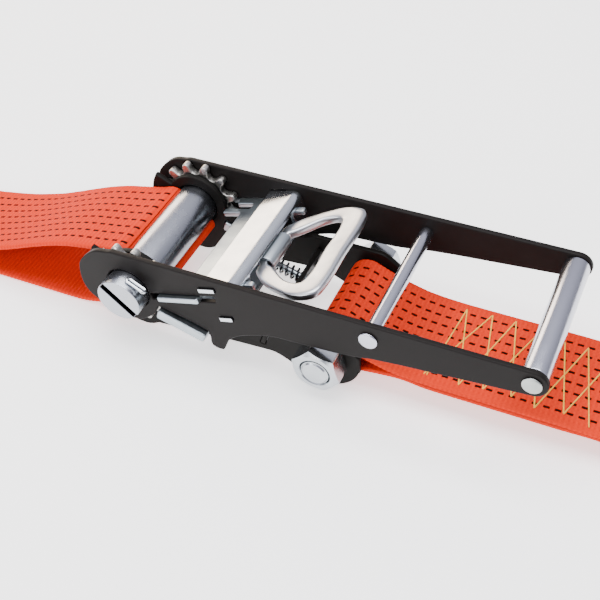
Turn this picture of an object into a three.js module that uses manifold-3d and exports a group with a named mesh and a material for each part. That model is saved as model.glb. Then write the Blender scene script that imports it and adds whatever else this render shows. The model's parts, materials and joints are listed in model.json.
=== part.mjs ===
// Ratchet band clamp for 50 mm webbing, lying on its side plates with the handle closed.
// Millimetres, +X from the winding shaft towards the grip, +Z up, Y across the webbing.
// The model is drawn about the winding shaft's axis, then set down on the surface it lies on.
import * as THREE from 'three';
import { mergeVertices } from 'three/addons/utils/BufferGeometryUtils.js';
import Module from 'manifold-3d';

const wasm = await Module();
wasm.setup();

// Gaps
const clearance = 0.3;      // running gap between touching pieces
const overrun = 1;          // how far a cutter passes through a face
const sideRoom = 1;         // webbing edge to side plate

// Webbing
const webbingWidth = 50;
const webbingThickness = 2.3;
const loadLegReach = 192;   // shaft axis to the left eye's centre
const fixedLegReach = 222;  // shaft axis to the right eye's centre
const eyeRadius = 9;        // outside of a sewn eye
const eyeLap = 40;          // sewn lap beside an eye
const tailEndGap = 25;      // cut end of the tail to the sewn lap

// Side plates and the width stack
const plateThickness = 2.6;
const gearThickness = 3.7;
const earReach = 2.2;       // pawl ear beyond the handle plate
const shaftReach = 8;       // shaft end beyond the handle plate

// Winding shaft and gears
const shaftRadius = 10;
const slotTilt = 42;        // degrees that the slot falls towards the grip
const toothTipRadius = 19.3;
const toothRootRadius = 14.6;
const toothCount = 12;
const firstTooth = 18;      // degrees
const pinRadius = 1.2;
const pinStandoff = 4.2;    // pin axis outside the handle plate
const pinTail = 2.2;        // pin end beyond the shaft
const pinEyeRadius = 0.95;
const pinEyeRun = 5.4;      // straight part of the eye
const pinEyeShift = 5.1;    // eye's middle from the point where it touches the shaft
const pinEyeTilt = 13;      // degrees that the bent eye rises from the slot's direction
const pinWireRadius = 0.75;

// Frame
const boltX = 87;
const boltDrop = 13.8;
const boltRadius = 6;
const boltEyeRadius = 15.8;
const frameTopDrop = 3.2;
const frameHeadRadius = 14.8;
const hexAcrossFlats = 19;
const hexTurn = 15;         // degrees
const nutHeight = 9.6;
const boltHeadHeight = 7.5;
const boltTip = 0.7;        // bolt end beyond the nut

// Handle
const gripX = 172.6;
const gripRise = 12.63;
const handleRise = 18.7;
const middleRodX = 109;
const middleRodRise = 11.14;
const gripRadius = 5.5;
const gripPinRadius = 2.8;
const middleRodRadius = 3.15;
const middlePinRadius = 2.6;
const rivetRadius = 3.9;
const rivetHeight = 1.2;

// Base pawl, which holds the gears and slides in the frame
const basePawlTilt = 17.5;  // degrees that it falls towards the grip
const basePawlX = 13.9;
const basePawlDrop = 8.2;
const basePawlThickness = 4.8;
const basePawlLength = 23;
const basePawlSlotRun = 16.2;
const basePawlTravel = 11.5;
const basePawlBackset = 11; // centre part's edge behind the ear's edge
const baseNoseStart = 1.2;
const baseNoseLength = 3.1;
const baseNoseThickness = 2.6;
const baseNoseLift = 1;
const springWallThickness = 2.4;
const springWallWidth = 32;
const springWallHeight = 11.5;
const guideRodRadius = 1.5;
const guideRodLift = 9.2;
const guideRodSide = 11;
const guideRodEnd = 50;
const bridgeStart = 44.5;
const bridgeThickness = 2;
const bridgeLow = 3;
const bridgeHigh = 15;
const bridgeTabMargin = 2.2;
const baseCoilRadius = 2.7;
const baseWireRadius = 0.5;
const baseCurls = 7;

// Pull plate, the handle's pawl
const pullTilt = 16;        // degrees that it rises towards the grip
const pullX = 15.5;
const pullRise = 0.9;
const pullThickness = 2.5;
const pullLength = 20.7;
const pullNoseStart = 4.5;
const pullNotch = 13.5;     // set back over the frame plates
const pullBackset = 9.9;    // set back over the webbing
const pullTabWidth = 3.2;
const pullDrop = 4.1;
const pullTravel = 7;
const neckHalfWidth = 9;
const knuckleRadius = 3.6;
const knuckleBoreRadius = 2.45;
const bailHingeU = 38.4;
const prongHalfWidth = 1.5;
const prongSide = 25.5;
const prongEnd = 41.8;
const pullCoilRadius = 2.9;
const pullWireRadius = 0.45;
const pullCurls = 4;

// Handle bracket, a bent channel that houses the pull plate
const bracketThickness = 1.8;
const bracketUpperStart = 22.4;
const bracketLowerStart = 27;
const bracketWebStart = 36.2;
const bracketUpperLift = 5;
const bracketLowerDrop = 10;
const upperTabRun = 7.5;
const lowerTabRun = 5.9;
const tabReach = 0.8;
const windowHalfWidth = 20;
const windowDrop = 7.6;

// Release bail
const bailThickness = 4;
const bailBevel = 1.2;
const bailBarWidth = 3.6;
const bailHalfWidth = 28.8;
const bailLength = 33.5;
const bailCrossbarWidth = 9.4;
const bailLegWidth = 7;
const bailTilt = 1;         // degrees above the pull plate

// Width stack, outwards from the middle
const webbingHalf = webbingWidth / 2;
const frameInner = webbingHalf + sideRoom;
const frameOuter = frameInner + plateThickness;
const gearInner = frameOuter + clearance;
const gearOuter = gearInner + gearThickness;
const handleInner = gearOuter + clearance;
const handleOuter = handleInner + plateThickness;
const earOuter = handleOuter + earReach;
const shaftEnd = handleOuter + shaftReach;
const betweenFrames = frameInner - clearance;
const betweenHandles = handleInner - clearance;
const surfaceZ = -boltDrop - boltEyeRadius;

const radians = THREE.MathUtils.degToRad;

function polar(degrees, radius) {
  return [radius * Math.cos(radians(degrees)), radius * Math.sin(radians(degrees))];
}

function arc(centreX, centreZ, radius, fromDegrees, toDegrees, steps) {
  return Array.from({ length: steps + 1 }, (_, i) => {
    const [x, z] = polar(fromDegrees + (toDegrees - fromDegrees) * i / steps, radius);
    return [centreX + x, centreZ + z];
  });
}

function shapeOf(points, holes = []) {
  const shape = new THREE.Shape(points.map(([x, z]) => new THREE.Vector2(x, z)));
  shape.holes = holes.map((hole) => new THREE.Path(hole.map(([x, z]) => new THREE.Vector2(x, z))));
  return shape;
}

// An outline in X and Z carried across the width, from low Y to high Y.
function across(shape, low, high) {
  const geometry = new THREE.ExtrudeGeometry(shape, { depth: high - low, bevelEnabled: false });
  return geometry.rotateX(Math.PI / 2).translate(0, high, 0);
}

function block(x0, x1, y0, y1, z0, z1) {
  const geometry = new THREE.BoxGeometry(x1 - x0, y1 - y0, z1 - z0);
  return geometry.translate((x0 + x1) / 2, (y0 + y1) / 2, (z0 + z1) / 2);
}

function rodAcross(radius, low, high, sides, x = 0, z = 0) {
  return new THREE.CylinderGeometry(radius, radius, high - low, sides).translate(x, (low + high) / 2, z);
}

function rodAlong(radius, start, end, y, z) {
  const geometry = new THREE.CylinderGeometry(radius, radius, end - start, 16).rotateZ(Math.PI / 2);
  return geometry.translate((start + end) / 2, y, z);
}

function solidOf(geometry) {
  const bare = geometry.clone();
  bare.deleteAttribute('normal');
  bare.deleteAttribute('uv');
  const merged = mergeVertices(bare);
  return new wasm.Manifold(new wasm.Mesh({
    numProp: 3,
    vertProperties: merged.attributes.position.array,
    triVerts: new Uint32Array(merged.index.array),
  }));
}

function joined(geometries) {
  return geometries.map(solidOf).reduce((whole, piece) => whole.add(piece));
}

function geometryOf(solid) {
  const mesh = solid.getMesh();
  const geometry = new THREE.BufferGeometry();
  geometry.setAttribute('position', new THREE.BufferAttribute(mesh.vertProperties, 3));
  geometry.setIndex(new THREE.BufferAttribute(mesh.triVerts, 1));
  geometry.computeVertexNormals();
  return geometry;
}

const finishes = {
  blackPaint: { color: '#3a3735', roughness: 0.45, metalness: 0.3 },
  framePaint: { color: '#2c2b29', roughness: 0.5, metalness: 0.3 },
  zinc: { color: '#c4cad2', roughness: 0.3, metalness: 0.9 },
  shaftZinc: { color: '#aeb2b2', roughness: 0.4, metalness: 0.85 },
  springSteel: { color: '#8d9196', roughness: 0.35, metalness: 0.9 },
  webbing: { color: '#e2532f', roughness: 0.85, metalness: 0 },
};

function piece(parent, name, finish, geometry) {
  const mesh = new THREE.Mesh(geometry, new THREE.MeshStandardMaterial(finishes[finish]));
  mesh.name = name;
  parent.add(mesh);
  return mesh;
}

function tiltedGroup(parent, x, z, degreesDown) {
  const group = new THREE.Group();
  group.position.set(x, 0, z);
  group.rotation.y = radians(degreesDown);
  parent.add(group);
  return group;
}

const sides = [['near', -1], ['far', 1]];

function bothWays(side, low, high) {
  return side < 0 ? [-high, -low] : [low, high];
}

// A rectangle in a tilted piece's own frame, written as a hole in its carrier's outline.
function tiltedSlot(x, z, degreesDown, start, end, low, high) {
  const [cos, sin] = polar(-degreesDown, 1);
  const corners = [[start, low], [end, low], [end, high], [start, high]];
  return corners.map(([u, v]) => [x + u * cos - v * sin, z + u * sin + v * cos]);
}

const clamp = new THREE.Group();

// Frame side plates: a round head about the shaft, a lobe under it and an eye for the bolt
const frameLobeShares = [
  [151, 2.33], [162, 2.33], [172, 2.33], [184, 2.35], [196, 2.38], [208, 2.42], [221, 2.47],
  [234, 2.52], [248, 2.58], [262, 2.64], [275, 2.66], [281, 2.61], [288, 2.54],
];
const frameUnderShares = [[0.506, 1.536], [0.713, 1.464], [0.766, 1.529], [0.798, 1.63], [0.83, 1.73]];
const frameBackShares = [[1.178, 1.304], [1.178, 0.725], [1.121, 0.399], [1.034, 0.123], [0.667, 0.123]];
const frameStepShare = 0.62;
const framePlateOutline = [
  ...arc(0, 0, frameHeadRadius, -12, 149, 22),
  ...frameLobeShares.map(([degrees, share]) => polar(degrees, share * shaftRadius)),
  ...frameUnderShares.map(([x, z]) => [x * boltX, -z * boltDrop]),
  ...arc(boltX, -boltDrop, boltEyeRadius, -130, -15, 14),
  ...frameBackShares.map(([x, z]) => [x * boltX, -z * boltDrop]),
  [frameStepShare * boltX, -frameTopDrop],
];
const basePawlHalf = basePawlThickness / 2;
const bridgeEnd = bridgeStart + bridgeThickness;
const framePlateHoles = [
  arc(0, 0, shaftRadius + clearance, 0, 345, 23),
  arc(boltX, -boltDrop, boltRadius + clearance, 0, 340, 17),
  tiltedSlot(basePawlX, -basePawlDrop, basePawlTilt,
    -clearance, basePawlSlotRun + basePawlTravel + clearance,
    -basePawlHalf - clearance, basePawlHalf + clearance),
  tiltedSlot(basePawlX, -basePawlDrop, basePawlTilt, bridgeStart - clearance, bridgeEnd + clearance,
    bridgeLow + bridgeTabMargin - clearance, bridgeHigh - bridgeTabMargin + clearance),
];
for (const [label, side] of sides) {
  const [low, high] = bothWays(side, frameInner, frameOuter);
  piece(clamp, `frame_plate_${label}`, 'framePaint',
    across(shapeOf(framePlateOutline, framePlateHoles), low, high));
}

// Bolt and nut that tie the plates and carry the fixed leg
const hexRadius = hexAcrossFlats / Math.sqrt(3);
const nutInner = frameOuter + clearance;
const nutOuter = nutInner + nutHeight;
const hexOutline = arc(0, 0, hexRadius, 90 + hexTurn, 390 + hexTurn, 5);
const boltHead = across(shapeOf(hexOutline), nutInner, nutInner + boltHeadHeight);
const boltShank = rodAcross(boltRadius, -nutOuter - boltTip, nutInner + overrun, 24);
piece(clamp, 'frame_bolt', 'zinc', geometryOf(joined([boltHead, boltShank])))
  .position.set(boltX, 0, -boltDrop);
const nutBore = arc(0, 0, boltRadius + clearance, 0, 340, 17);
piece(clamp, 'frame_nut', 'zinc', across(shapeOf(hexOutline, [nutBore]), -nutOuter, -nutInner))
  .position.set(boltX, 0, -boltDrop);

// Winding shaft: two half rounds with the slot between them, through both gears
const spindle = tiltedGroup(clamp, 0, 0, slotTilt);
const slotHalf = webbingThickness / 2 + clearance;

function halfRound(radius, flat) {
  const start = THREE.MathUtils.radToDeg(Math.asin(flat / radius));
  return arc(0, 0, radius, start, 180 - start, 16);
}

const pinY = handleOuter + pinStandoff;
function pinBore(y) {
  const reach = shaftRadius + overrun;
  const bore = new THREE.CylinderGeometry(pinRadius + clearance, pinRadius + clearance, 2 * reach, 16);
  return bore.rotateX(Math.PI / 2).translate(0, y, 0);
}
for (const [label, flip] of [['upper', 0], ['lower', Math.PI]]) {
  const bar = across(shapeOf(halfRound(shaftRadius, slotHalf)), -shaftEnd, shaftEnd);
  const drilled = solidOf(bar).subtract(joined([pinBore(-pinY), pinBore(pinY)]));
  piece(spindle, `half_shaft_${label}`, 'shaftZinc', geometryOf(drilled)).rotation.y = flip;
}

// Gears: rounded teeth outside, two half-round holes with a bridge between them inside
const toothShares = [
  [-0.215, 0], [-0.15, 0.17], [-0.125, 0.6], [-0.1, 0.86], [-0.04, 1],
  [0.04, 1], [0.1, 0.86], [0.125, 0.6], [0.15, 0.17], [0.215, 0],
];
const gearOutline = Array.from({ length: toothCount }, (_, tooth) => toothShares.map(([side, height]) => {
  const radius = toothRootRadius + height * (toothTipRadius - toothRootRadius);
  const lean = THREE.MathUtils.radToDeg(side * toothRootRadius / radius);
  return polar(firstTooth + slotTilt + tooth * 360 / toothCount + lean, radius);
})).flat();
const upperHole = halfRound(shaftRadius + clearance, slotHalf - clearance);
const lowerHole = upperHole.map(([x, z]) => [-x, -z]);
for (const [label, side] of sides) {
  const [low, high] = bothWays(side, gearInner, gearOuter);
  piece(spindle, `gear_${label}`, 'shaftZinc',
    across(shapeOf(gearOutline, [upperHole, lowerHole]), low, high));
}

// Split pins through both halves, outside the handle plates, with the eye bent over the shaft
const pinEyeHeight = shaftRadius + clearance + pinWireRadius;
const pinEyeSegments = 16;
for (const [label, side] of sides) {
  const pinLow = -shaftRadius - pinTail;
  const pinHigh = pinEyeHeight / Math.cos(radians(pinEyeTilt));
  const legs = new THREE.CylinderGeometry(pinRadius, pinRadius, pinHigh - pinLow, 12)
    .rotateX(Math.PI / 2).translate(0, 0, (pinHigh + pinLow) / 2);
  const eye = new THREE.TorusGeometry(pinEyeRadius, pinWireRadius, 8, pinEyeSegments)
    .rotateZ(Math.PI / pinEyeSegments);
  const eyePoints = eye.attributes.position;
  for (let i = 0; i < eyePoints.count; i += 1) {
    const x = eyePoints.getX(i);
    eyePoints.setX(i, x + Math.sign(x) * pinEyeRun / 2);
  }
  eye.translate(pinEyeShift, 0, pinEyeHeight).rotateY(-radians(pinEyeTilt));
  piece(spindle, `split_pin_${label}`, 'zinc', geometryOf(joined([legs, eye]))).position.y = side * pinY;
}

// Base pawl: ears outside, noses on the gears, arms in the frame slots and a spring wall behind
const basePawl = tiltedGroup(clamp, basePawlX, -basePawlDrop, basePawlTilt);
const basePawlCore = webbingHalf + sideRoom - 2 * clearance;
const earInner = gearOuter + clearance;
const noseEnd = baseNoseStart + baseNoseLength;
const basePawlBlocks = [
  block(basePawlBackset, basePawlLength, -basePawlCore, basePawlCore, -basePawlHalf, basePawlHalf),
  block(basePawlLength - springWallThickness, basePawlLength,
    -springWallWidth / 2, springWallWidth / 2, 0, springWallHeight),
];
for (const [, side] of sides) {
  const arm = bothWays(side, basePawlCore - overrun, frameOuter + clearance);
  const nose = bothWays(side, frameOuter, gearOuter + 2 * clearance);
  const ear = bothWays(side, earInner, earOuter);
  const noseLow = baseNoseLift - baseNoseThickness / 2;
  basePawlBlocks.push(
    block(0, basePawlSlotRun, ...arm, -basePawlHalf, basePawlHalf),
    block(baseNoseStart, basePawlSlotRun, ...nose, noseLow, noseLow + baseNoseThickness),
    block(noseEnd, basePawlLength, ...nose, -basePawlHalf, basePawlHalf),
    block(0, basePawlLength, ...ear, -basePawlHalf, basePawlHalf),
    rodAlong(guideRodRadius, basePawlLength - overrun, guideRodEnd, side * guideRodSide, guideRodLift),
  );
}
piece(basePawl, 'base_pawl', 'zinc', geometryOf(joined(basePawlBlocks)));

// Spring bridge between the frame plates, with the guide rods' holes
const bridgeBody = joined([
  block(bridgeStart, bridgeEnd, -betweenFrames, betweenFrames, bridgeLow, bridgeHigh),
  block(bridgeStart, bridgeEnd, -frameOuter, frameOuter,
    bridgeLow + bridgeTabMargin, bridgeHigh - bridgeTabMargin),
]);
const bridgeBores = joined(sides.map(([, side]) => rodAlong(guideRodRadius + clearance,
  bridgeStart - overrun, bridgeEnd + overrun, side * guideRodSide, guideRodLift)));
piece(basePawl, 'spring_bridge', 'framePaint', geometryOf(bridgeBody.subtract(bridgeBores)));

// A compression spring along X: a helix whose two ends run straight for one wire diameter
function coilSpring(label, length, coilRadius, wireRadius, curls) {
  const stub = 2 * wireRadius;
  const stepsPerCurl = 8;
  const wireSides = 5;
  const steps = curls * stepsPerCurl;
  const path = [{ x: 0, turn: 0 }];
  for (let i = 0; i <= steps; i += 1) {
    path.push({ x: stub + (length - 2 * stub) * i / steps, turn: 2 * Math.PI * i / stepsPerCurl });
  }
  path.push({ x: length, turn: path[path.length - 1].turn });
  const centres = path.map(({ x, turn }) => new THREE.Vector3(
    x, coilRadius * Math.cos(turn), coilRadius * Math.sin(turn)));
  let leastGap = Infinity;
  for (let i = 0; i < centres.length; i += 1) {
    for (let j = i + stepsPerCurl / 2; j < centres.length; j += 1) {
      leastGap = Math.min(leastGap, centres[i].distanceTo(centres[j]) - 2 * wireRadius);
    }
  }
  console.log(`${label}: least gap between curls ${leastGap.toFixed(2)} mm`);
  const last = centres.length - 1;
  const along = new THREE.Vector3(1, 0, 0);
  const rings = centres.map((centre, i) => {
    const outwards = new THREE.Vector3(0, Math.cos(path[i].turn), Math.sin(path[i].turn));
    const heading = i === 0 || i === last
      ? along.clone()
      : centres[i + 1].clone().sub(centres[i - 1]).normalize();
    const sideways = new THREE.Vector3().crossVectors(heading, outwards).normalize();
    return Array.from({ length: wireSides }, (_, k) => {
      const around = 2 * Math.PI * k / wireSides;
      return centre.clone()
        .addScaledVector(outwards, wireRadius * Math.cos(around))
        .addScaledVector(sideways, wireRadius * Math.sin(around));
    });
  });
  const positions = [...rings.flat(), centres[0], centres[last]].flatMap((point) => point.toArray());
  const faces = [];
  const startCap = rings.length * wireSides;
  for (let k = 0; k < wireSides; k += 1) {
    const next = (k + 1) % wireSides;
    for (let i = 0; i < last; i += 1) {
      const here = i * wireSides;
      const there = here + wireSides;
      faces.push(here + k, here + next, there + next, here + k, there + next, there + k);
    }
    faces.push(startCap, next, k);
    faces.push(startCap + 1, last * wireSides + k, last * wireSides + next);
  }
  const geometry = new THREE.BufferGeometry();
  geometry.setAttribute('position', new THREE.Float32BufferAttribute(positions, 3));
  geometry.setIndex(faces);
  geometry.computeVertexNormals();
  return geometry;
}

for (const [label, side] of sides) {
  const length = bridgeStart - basePawlLength - 2 * clearance;
  const coil = coilSpring(`base_pawl_spring_${label}`, length, baseCoilRadius, baseWireRadius, baseCurls);
  piece(basePawl, `base_pawl_spring_${label}`, 'springSteel', coil)
    .position.set(basePawlLength + clearance, side * guideRodSide, guideRodLift);
}

// Handle side plates: a cam head about the shaft, a recess over the base pawl's ear and a hook
const camShares = [
  [113.6, 1.97], [127, 2.14], [136, 2.21], [145, 2.26], [154, 2.34], [162, 2.4], [168, 2.4], [175, 2.39],
  [183, 2.38], [191, 2.37], [198, 2.33], [205, 2.27], [212, 2.17], [222, 2.07], [233, 1.98], [244, 1.9],
  [255, 1.84], [266, 1.78], [277, 1.73], [287, 1.7], [299, 1.62], [309, 1.58], [318, 1.55], [326, 1.51],
];
const handleUnderShares = [
  [0.0805, -0.283], [0.14, -0.41], [0.18, -0.508], [0.214, -0.62], [0.219, -0.797], [0.219, -0.968],
  [0.223, -1.05], [0.231, -1.085], [0.244, -1.1], [0.253, -1.091], [0.261, -0.898], [0.268, -0.759],
  [0.28, -0.631], [0.304, -0.471], [0.325, -0.38], [0.345, -0.305], [0.365, -0.238], [0.385, -0.193],
  [0.411, -0.16], [0.488, -0.128], [0.55, -0.1], [0.605, -0.03], [0.64, 0.04], [0.7, 0.105],
];
const topStartShare = -0.03;
const gripEndRadius = handleRise - gripRise;
const handlePlateOutline = [
  [topStartShare * gripX, handleRise],
  ...camShares.map(([degrees, share]) => polar(degrees, share * shaftRadius)),
  ...handleUnderShares.map(([x, z]) => [x * gripX, z * handleRise]),
  ...arc(gripX, gripRise, gripEndRadius, -85, 90, 12),
];
const pullHalf = pullThickness / 2;
const bracketHalf = bracketThickness / 2;
function bracketTab(start, run, lift) {
  return tiltedSlot(pullX, pullRise, -pullTilt, start - clearance, start + run + clearance,
    lift - bracketHalf - clearance, lift + bracketHalf + clearance);
}
const handlePlateHoles = [
  arc(0, 0, shaftRadius + clearance, 0, 345, 23),
  arc(gripX, gripRise, gripPinRadius + clearance, 0, 330, 11),
  arc(middleRodX, middleRodRise, middlePinRadius + clearance, 0, 330, 11),
  tiltedSlot(pullX, pullRise, -pullTilt, -pullDrop - clearance, pullLength + pullTravel + clearance,
    -pullHalf - clearance, pullHalf + clearance),
  bracketTab(bracketUpperStart, upperTabRun, bracketUpperLift),
  bracketTab(bracketLowerStart, lowerTabRun, -bracketLowerDrop),
];
for (const [label, side] of sides) {
  const [low, high] = bothWays(side, handleInner, handleOuter);
  piece(clamp, `handle_plate_${label}`, 'blackPaint',
    across(shapeOf(handlePlateOutline, handlePlateHoles), low, high));
}

// Grip and middle rod, riveted over the handle plates
function rivetedRod(bodyRadius, shankRadius) {
  const headStart = handleOuter + clearance;
  const half = [[bodyRadius, betweenHandles], [shankRadius, betweenHandles], [shankRadius, headStart],
    [rivetRadius, headStart], [rivetRadius, headStart + rivetHeight], [0, headStart + rivetHeight]];
  const mirrored = half.map(([radius, y]) => [radius, -y]).reverse();
  const profile = [...mirrored, ...half].map(([radius, y]) => new THREE.Vector2(radius, y));
  return geometryOf(solidOf(new THREE.LatheGeometry(profile, 16)));
}
function tubeAcross(outer, inner, half) {
  const ring = shapeOf(arc(0, 0, outer, 0, 345, 23), [arc(0, 0, inner, 0, 345, 23)]);
  return across(ring, -half, half);
}
piece(clamp, 'grip_tube', 'zinc', tubeAcross(gripRadius, gripPinRadius + 2 * clearance, betweenHandles))
  .position.set(gripX, 0, gripRise);
piece(clamp, 'grip_rod', 'zinc', rivetedRod(gripPinRadius + clearance, gripPinRadius))
  .position.set(gripX, 0, gripRise);
piece(clamp, 'middle_rod', 'zinc', rivetedRod(middleRodRadius, middlePinRadius))
  .position.set(middleRodX, 0, middleRodRise);

// Handle bracket: two flanges and a web, tabbed into the handle plates, with a window for the bail
const pullGroup = tiltedGroup(clamp, pullX, pullRise, -pullTilt);
const bracketWebEnd = bracketWebStart + bracketThickness;
const upperLow = bracketUpperLift - bracketHalf;
const upperHigh = bracketUpperLift + bracketHalf;
const lowerLow = -bracketLowerDrop - bracketHalf;
const lowerHigh = -bracketLowerDrop + bracketHalf;
const tabEnd = handleOuter + tabReach;
const bracketBody = joined([
  block(bracketUpperStart, bracketWebEnd, -betweenHandles, betweenHandles, upperLow, upperHigh),
  block(bracketLowerStart, bracketWebEnd, -betweenHandles, betweenHandles, lowerLow, lowerHigh),
  block(bracketWebStart, bracketWebEnd, -betweenHandles, betweenHandles, lowerLow, upperHigh),
  block(bracketUpperStart, bracketUpperStart + upperTabRun, -tabEnd, tabEnd, upperLow, upperHigh),
  block(bracketLowerStart, bracketLowerStart + lowerTabRun, -tabEnd, tabEnd, lowerLow, lowerHigh),
]);
const windowHigh = pullHalf + 2 * clearance;
const webFaces = [bracketWebStart - overrun, bracketWebEnd + overrun];
const bracketCuts = joined([
  block(...webFaces, -windowHalfWidth, windowHalfWidth, -windowDrop, windowHigh),
  ...sides.map(([, side]) => block(...webFaces,
    side * prongSide - prongHalfWidth - clearance, side * prongSide + prongHalfWidth + clearance,
    -pullHalf - clearance, pullHalf + clearance)),
]);
piece(pullGroup, 'handle_bracket', 'zinc', geometryOf(bracketBody.subtract(bracketCuts)));

// Pull plate: ears, noses, a rolled knuckle for the bail and two prongs for its springs
const knuckleV = pullHalf - knuckleRadius;
const pullTabOuter = webbingHalf + sideRoom / 2;
const pullNotchOuter = gearInner + clearance;
const pullBlocks = [
  block(pullBackset, pullLength, -earOuter, earOuter, -pullHalf, pullHalf),
  block(pullLength - overrun, bailHingeU, -neckHalfWidth, neckHalfWidth, -pullHalf, pullHalf),
  rodAcross(knuckleRadius, -neckHalfWidth, neckHalfWidth, 24, bailHingeU, knuckleV),
];
for (const [, side] of sides) {
  const tab = bothWays(side, pullTabOuter - pullTabWidth, pullTabOuter);
  const nose = bothWays(side, gearInner, handleInner);
  const ear = bothWays(side, earInner, earOuter);
  pullBlocks.push(
    block(clearance, pullLength, ...tab, -pullHalf, pullHalf),
    block(pullNoseStart, pullLength, ...nose, -pullHalf, pullHalf),
    block(0, pullLength, ...ear, -pullHalf, pullHalf),
    block(pullLength - overrun, prongEnd, side * prongSide - prongHalfWidth,
      side * prongSide + prongHalfWidth, -pullHalf, pullHalf),
  );
}
const pullCuts = joined([
  rodAcross(knuckleBoreRadius, -neckHalfWidth - overrun, neckHalfWidth + overrun, 20, bailHingeU, knuckleV),
  ...sides.map(([, side]) => block(-overrun, pullNotch, ...bothWays(side, pullTabOuter, pullNotchOuter),
    -pullHalf - overrun, pullHalf + overrun)),
]);
piece(pullGroup, 'pull_plate', 'zinc', geometryOf(joined(pullBlocks).subtract(pullCuts)));

for (const [label, side] of sides) {
  const length = bracketWebStart - pullLength - 2 * clearance;
  const coil = coilSpring(`pull_spring_${label}`, length, pullCoilRadius, pullWireRadius, pullCurls);
  piece(pullGroup, `pull_spring_${label}`, 'springSteel', coil)
    .position.set(pullLength + clearance, side * prongSide, 0);
}

// Release bail: a trapezoid ring whose short bar turns in the knuckle
const bail = tiltedGroup(pullGroup, bailHingeU, knuckleV, -bailTilt);
const barHalf = bailBarWidth / 2;
const bailOuterShares = [[-0.054, 0.44], [-0.045, 0.53], [0.02, 0.62], [0.5, 0.96], [0.58, 1],
  [0.86, 1], [0.93, 0.96], [0.985, 0.86], [1, 0.74]];
const bailOuterHalf = bailOuterShares.map(([s, y]) => [s * bailLength, y * bailHalfWidth]);
const bailInnerLength = bailLength - bailCrossbarWidth;
const bailInnerHalfWidth = bailHalfWidth - bailLegWidth;
const bailInnerShares = [[0.12, 0.5], [0.72, 0.98], [0.88, 1], [0.97, 0.93], [1, 0.82]];
const bailInnerHalf = [
  [barHalf, neckHalfWidth + 3 * clearance],
  ...bailInnerShares.map(([s, y]) => [s * bailInnerLength, y * bailInnerHalfWidth]),
];
function mirroredRing(half) {
  return [...half, ...half.map(([s, y]) => [s, -y]).reverse()];
}
const bailShape = shapeOf(mirroredRing(bailOuterHalf).reverse(), [mirroredRing(bailInnerHalf)]);
const bailRing = new THREE.ExtrudeGeometry(bailShape, {
  depth: bailThickness - 2 * bailBevel,
  bevelThickness: bailBevel,
  bevelSize: bailBevel,
  bevelOffset: -bailBevel,
  bevelSegments: 1,
}).translate(0, 0, bailBevel - bailThickness / 2);
piece(bail, 'release_bail', 'zinc', geometryOf(solidOf(bailRing)));

// Webbing: flat straps carried along their middle line
function strapOutline(middle, thickness, steps) {
  const curve = new THREE.SplineCurve(middle.map(([x, z]) => new THREE.Vector2(x, z)));
  const count = Array.from({ length: steps + 1 }, (_, i) => i / steps);
  const side = (offset) => count.map((t) => {
    const point = curve.getPointAt(t);
    const heading = curve.getTangentAt(t);
    return [point.x - heading.y * offset, point.y + heading.x * offset];
  });
  return [...side(thickness / 2), ...side(-thickness / 2).reverse()];
}

const strapHalf = webbingThickness / 2;
const strapOnShaft = shaftRadius + clearance + strapHalf;
const legMiddleZ = surfaceZ + strapHalf;
const eyeZ = surfaceZ + eyeRadius;

// Load leg: flat on the surface, up to the shaft's underside and round to the slot
const legRiseTilt = 28;     // degrees
const underShaft = arc(0, 0, strapOnShaft, legRiseTilt - 90, -47, 4);
const [touchX, touchZ] = underShaft[0];
const legRise = touchZ - legMiddleZ;
const legFoot = touchX - legRise / Math.tan(radians(legRiseTilt));
const legRiseShares = [0.3, 0.5, 0.7, 0.9];
const legFootShares = [[-0.35, 0], [-0.2, 0.012], [-0.08, 0.045], [0.05, 0.105], [0.17, 0.19]];
const legFlatShares = [0.9, 0.75, 0.6, 0.45, 0.32];
const loadLegMiddle = [
  [-loadLegReach, legMiddleZ],
  ...legFlatShares.map((share) => [-loadLegReach * share, legMiddleZ]),
  ...[...legFootShares, ...legRiseShares.map((share) => [share, share])].map(([x, z]) => [
    legFoot + x * (touchX - legFoot), legMiddleZ + z * legRise]),
  ...underShaft,
];
const loadStrap = across(shapeOf(strapOutline(loadLegMiddle, webbingThickness, 48)), -webbingHalf, webbingHalf);

// A sewn eye: the strap runs round a loop and back onto itself, pointing along +X or -X
const lapBendShare = 0.55;
const gapEndShare = 0.5;
function eyeRing(x, direction, lap) {
  const outer = arc(0, 0, eyeRadius, -90, 62, 14);
  const inner = arc(0, 0, eyeRadius - webbingThickness, -76, 50, 12);
  const lapTop = -eyeRadius + 2 * webbingThickness;
  const outerTail = [[-lap * lapBendShare, lapTop], [-lap, lapTop], [-lap, -eyeRadius]];
  const innerTail = [[-lap * gapEndShare, lapTop - webbingThickness + clearance]];
  const place = ([u, v]) => [x + direction * u, eyeZ + v];
  const order = (points) => (direction < 0 ? points.reverse() : points);
  const ring = [...outer, ...outerTail].map(place);
  const hole = [...inner, ...innerTail].map(place);
  return across(shapeOf(order(ring), [order(hole)]), -webbingHalf, webbingHalf);
}
piece(clamp, 'band_load_leg', 'webbing',
  geometryOf(joined([loadStrap, eyeRing(-loadLegReach, -1, eyeLap)])));

// Core: the strap inside the slot
const coreHalf = shaftRadius - clearance;
piece(spindle, 'band_core', 'webbing', block(-coreHalf, coreHalf, -webbingHalf, webbingHalf, -strapHalf, strapHalf));

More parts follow.
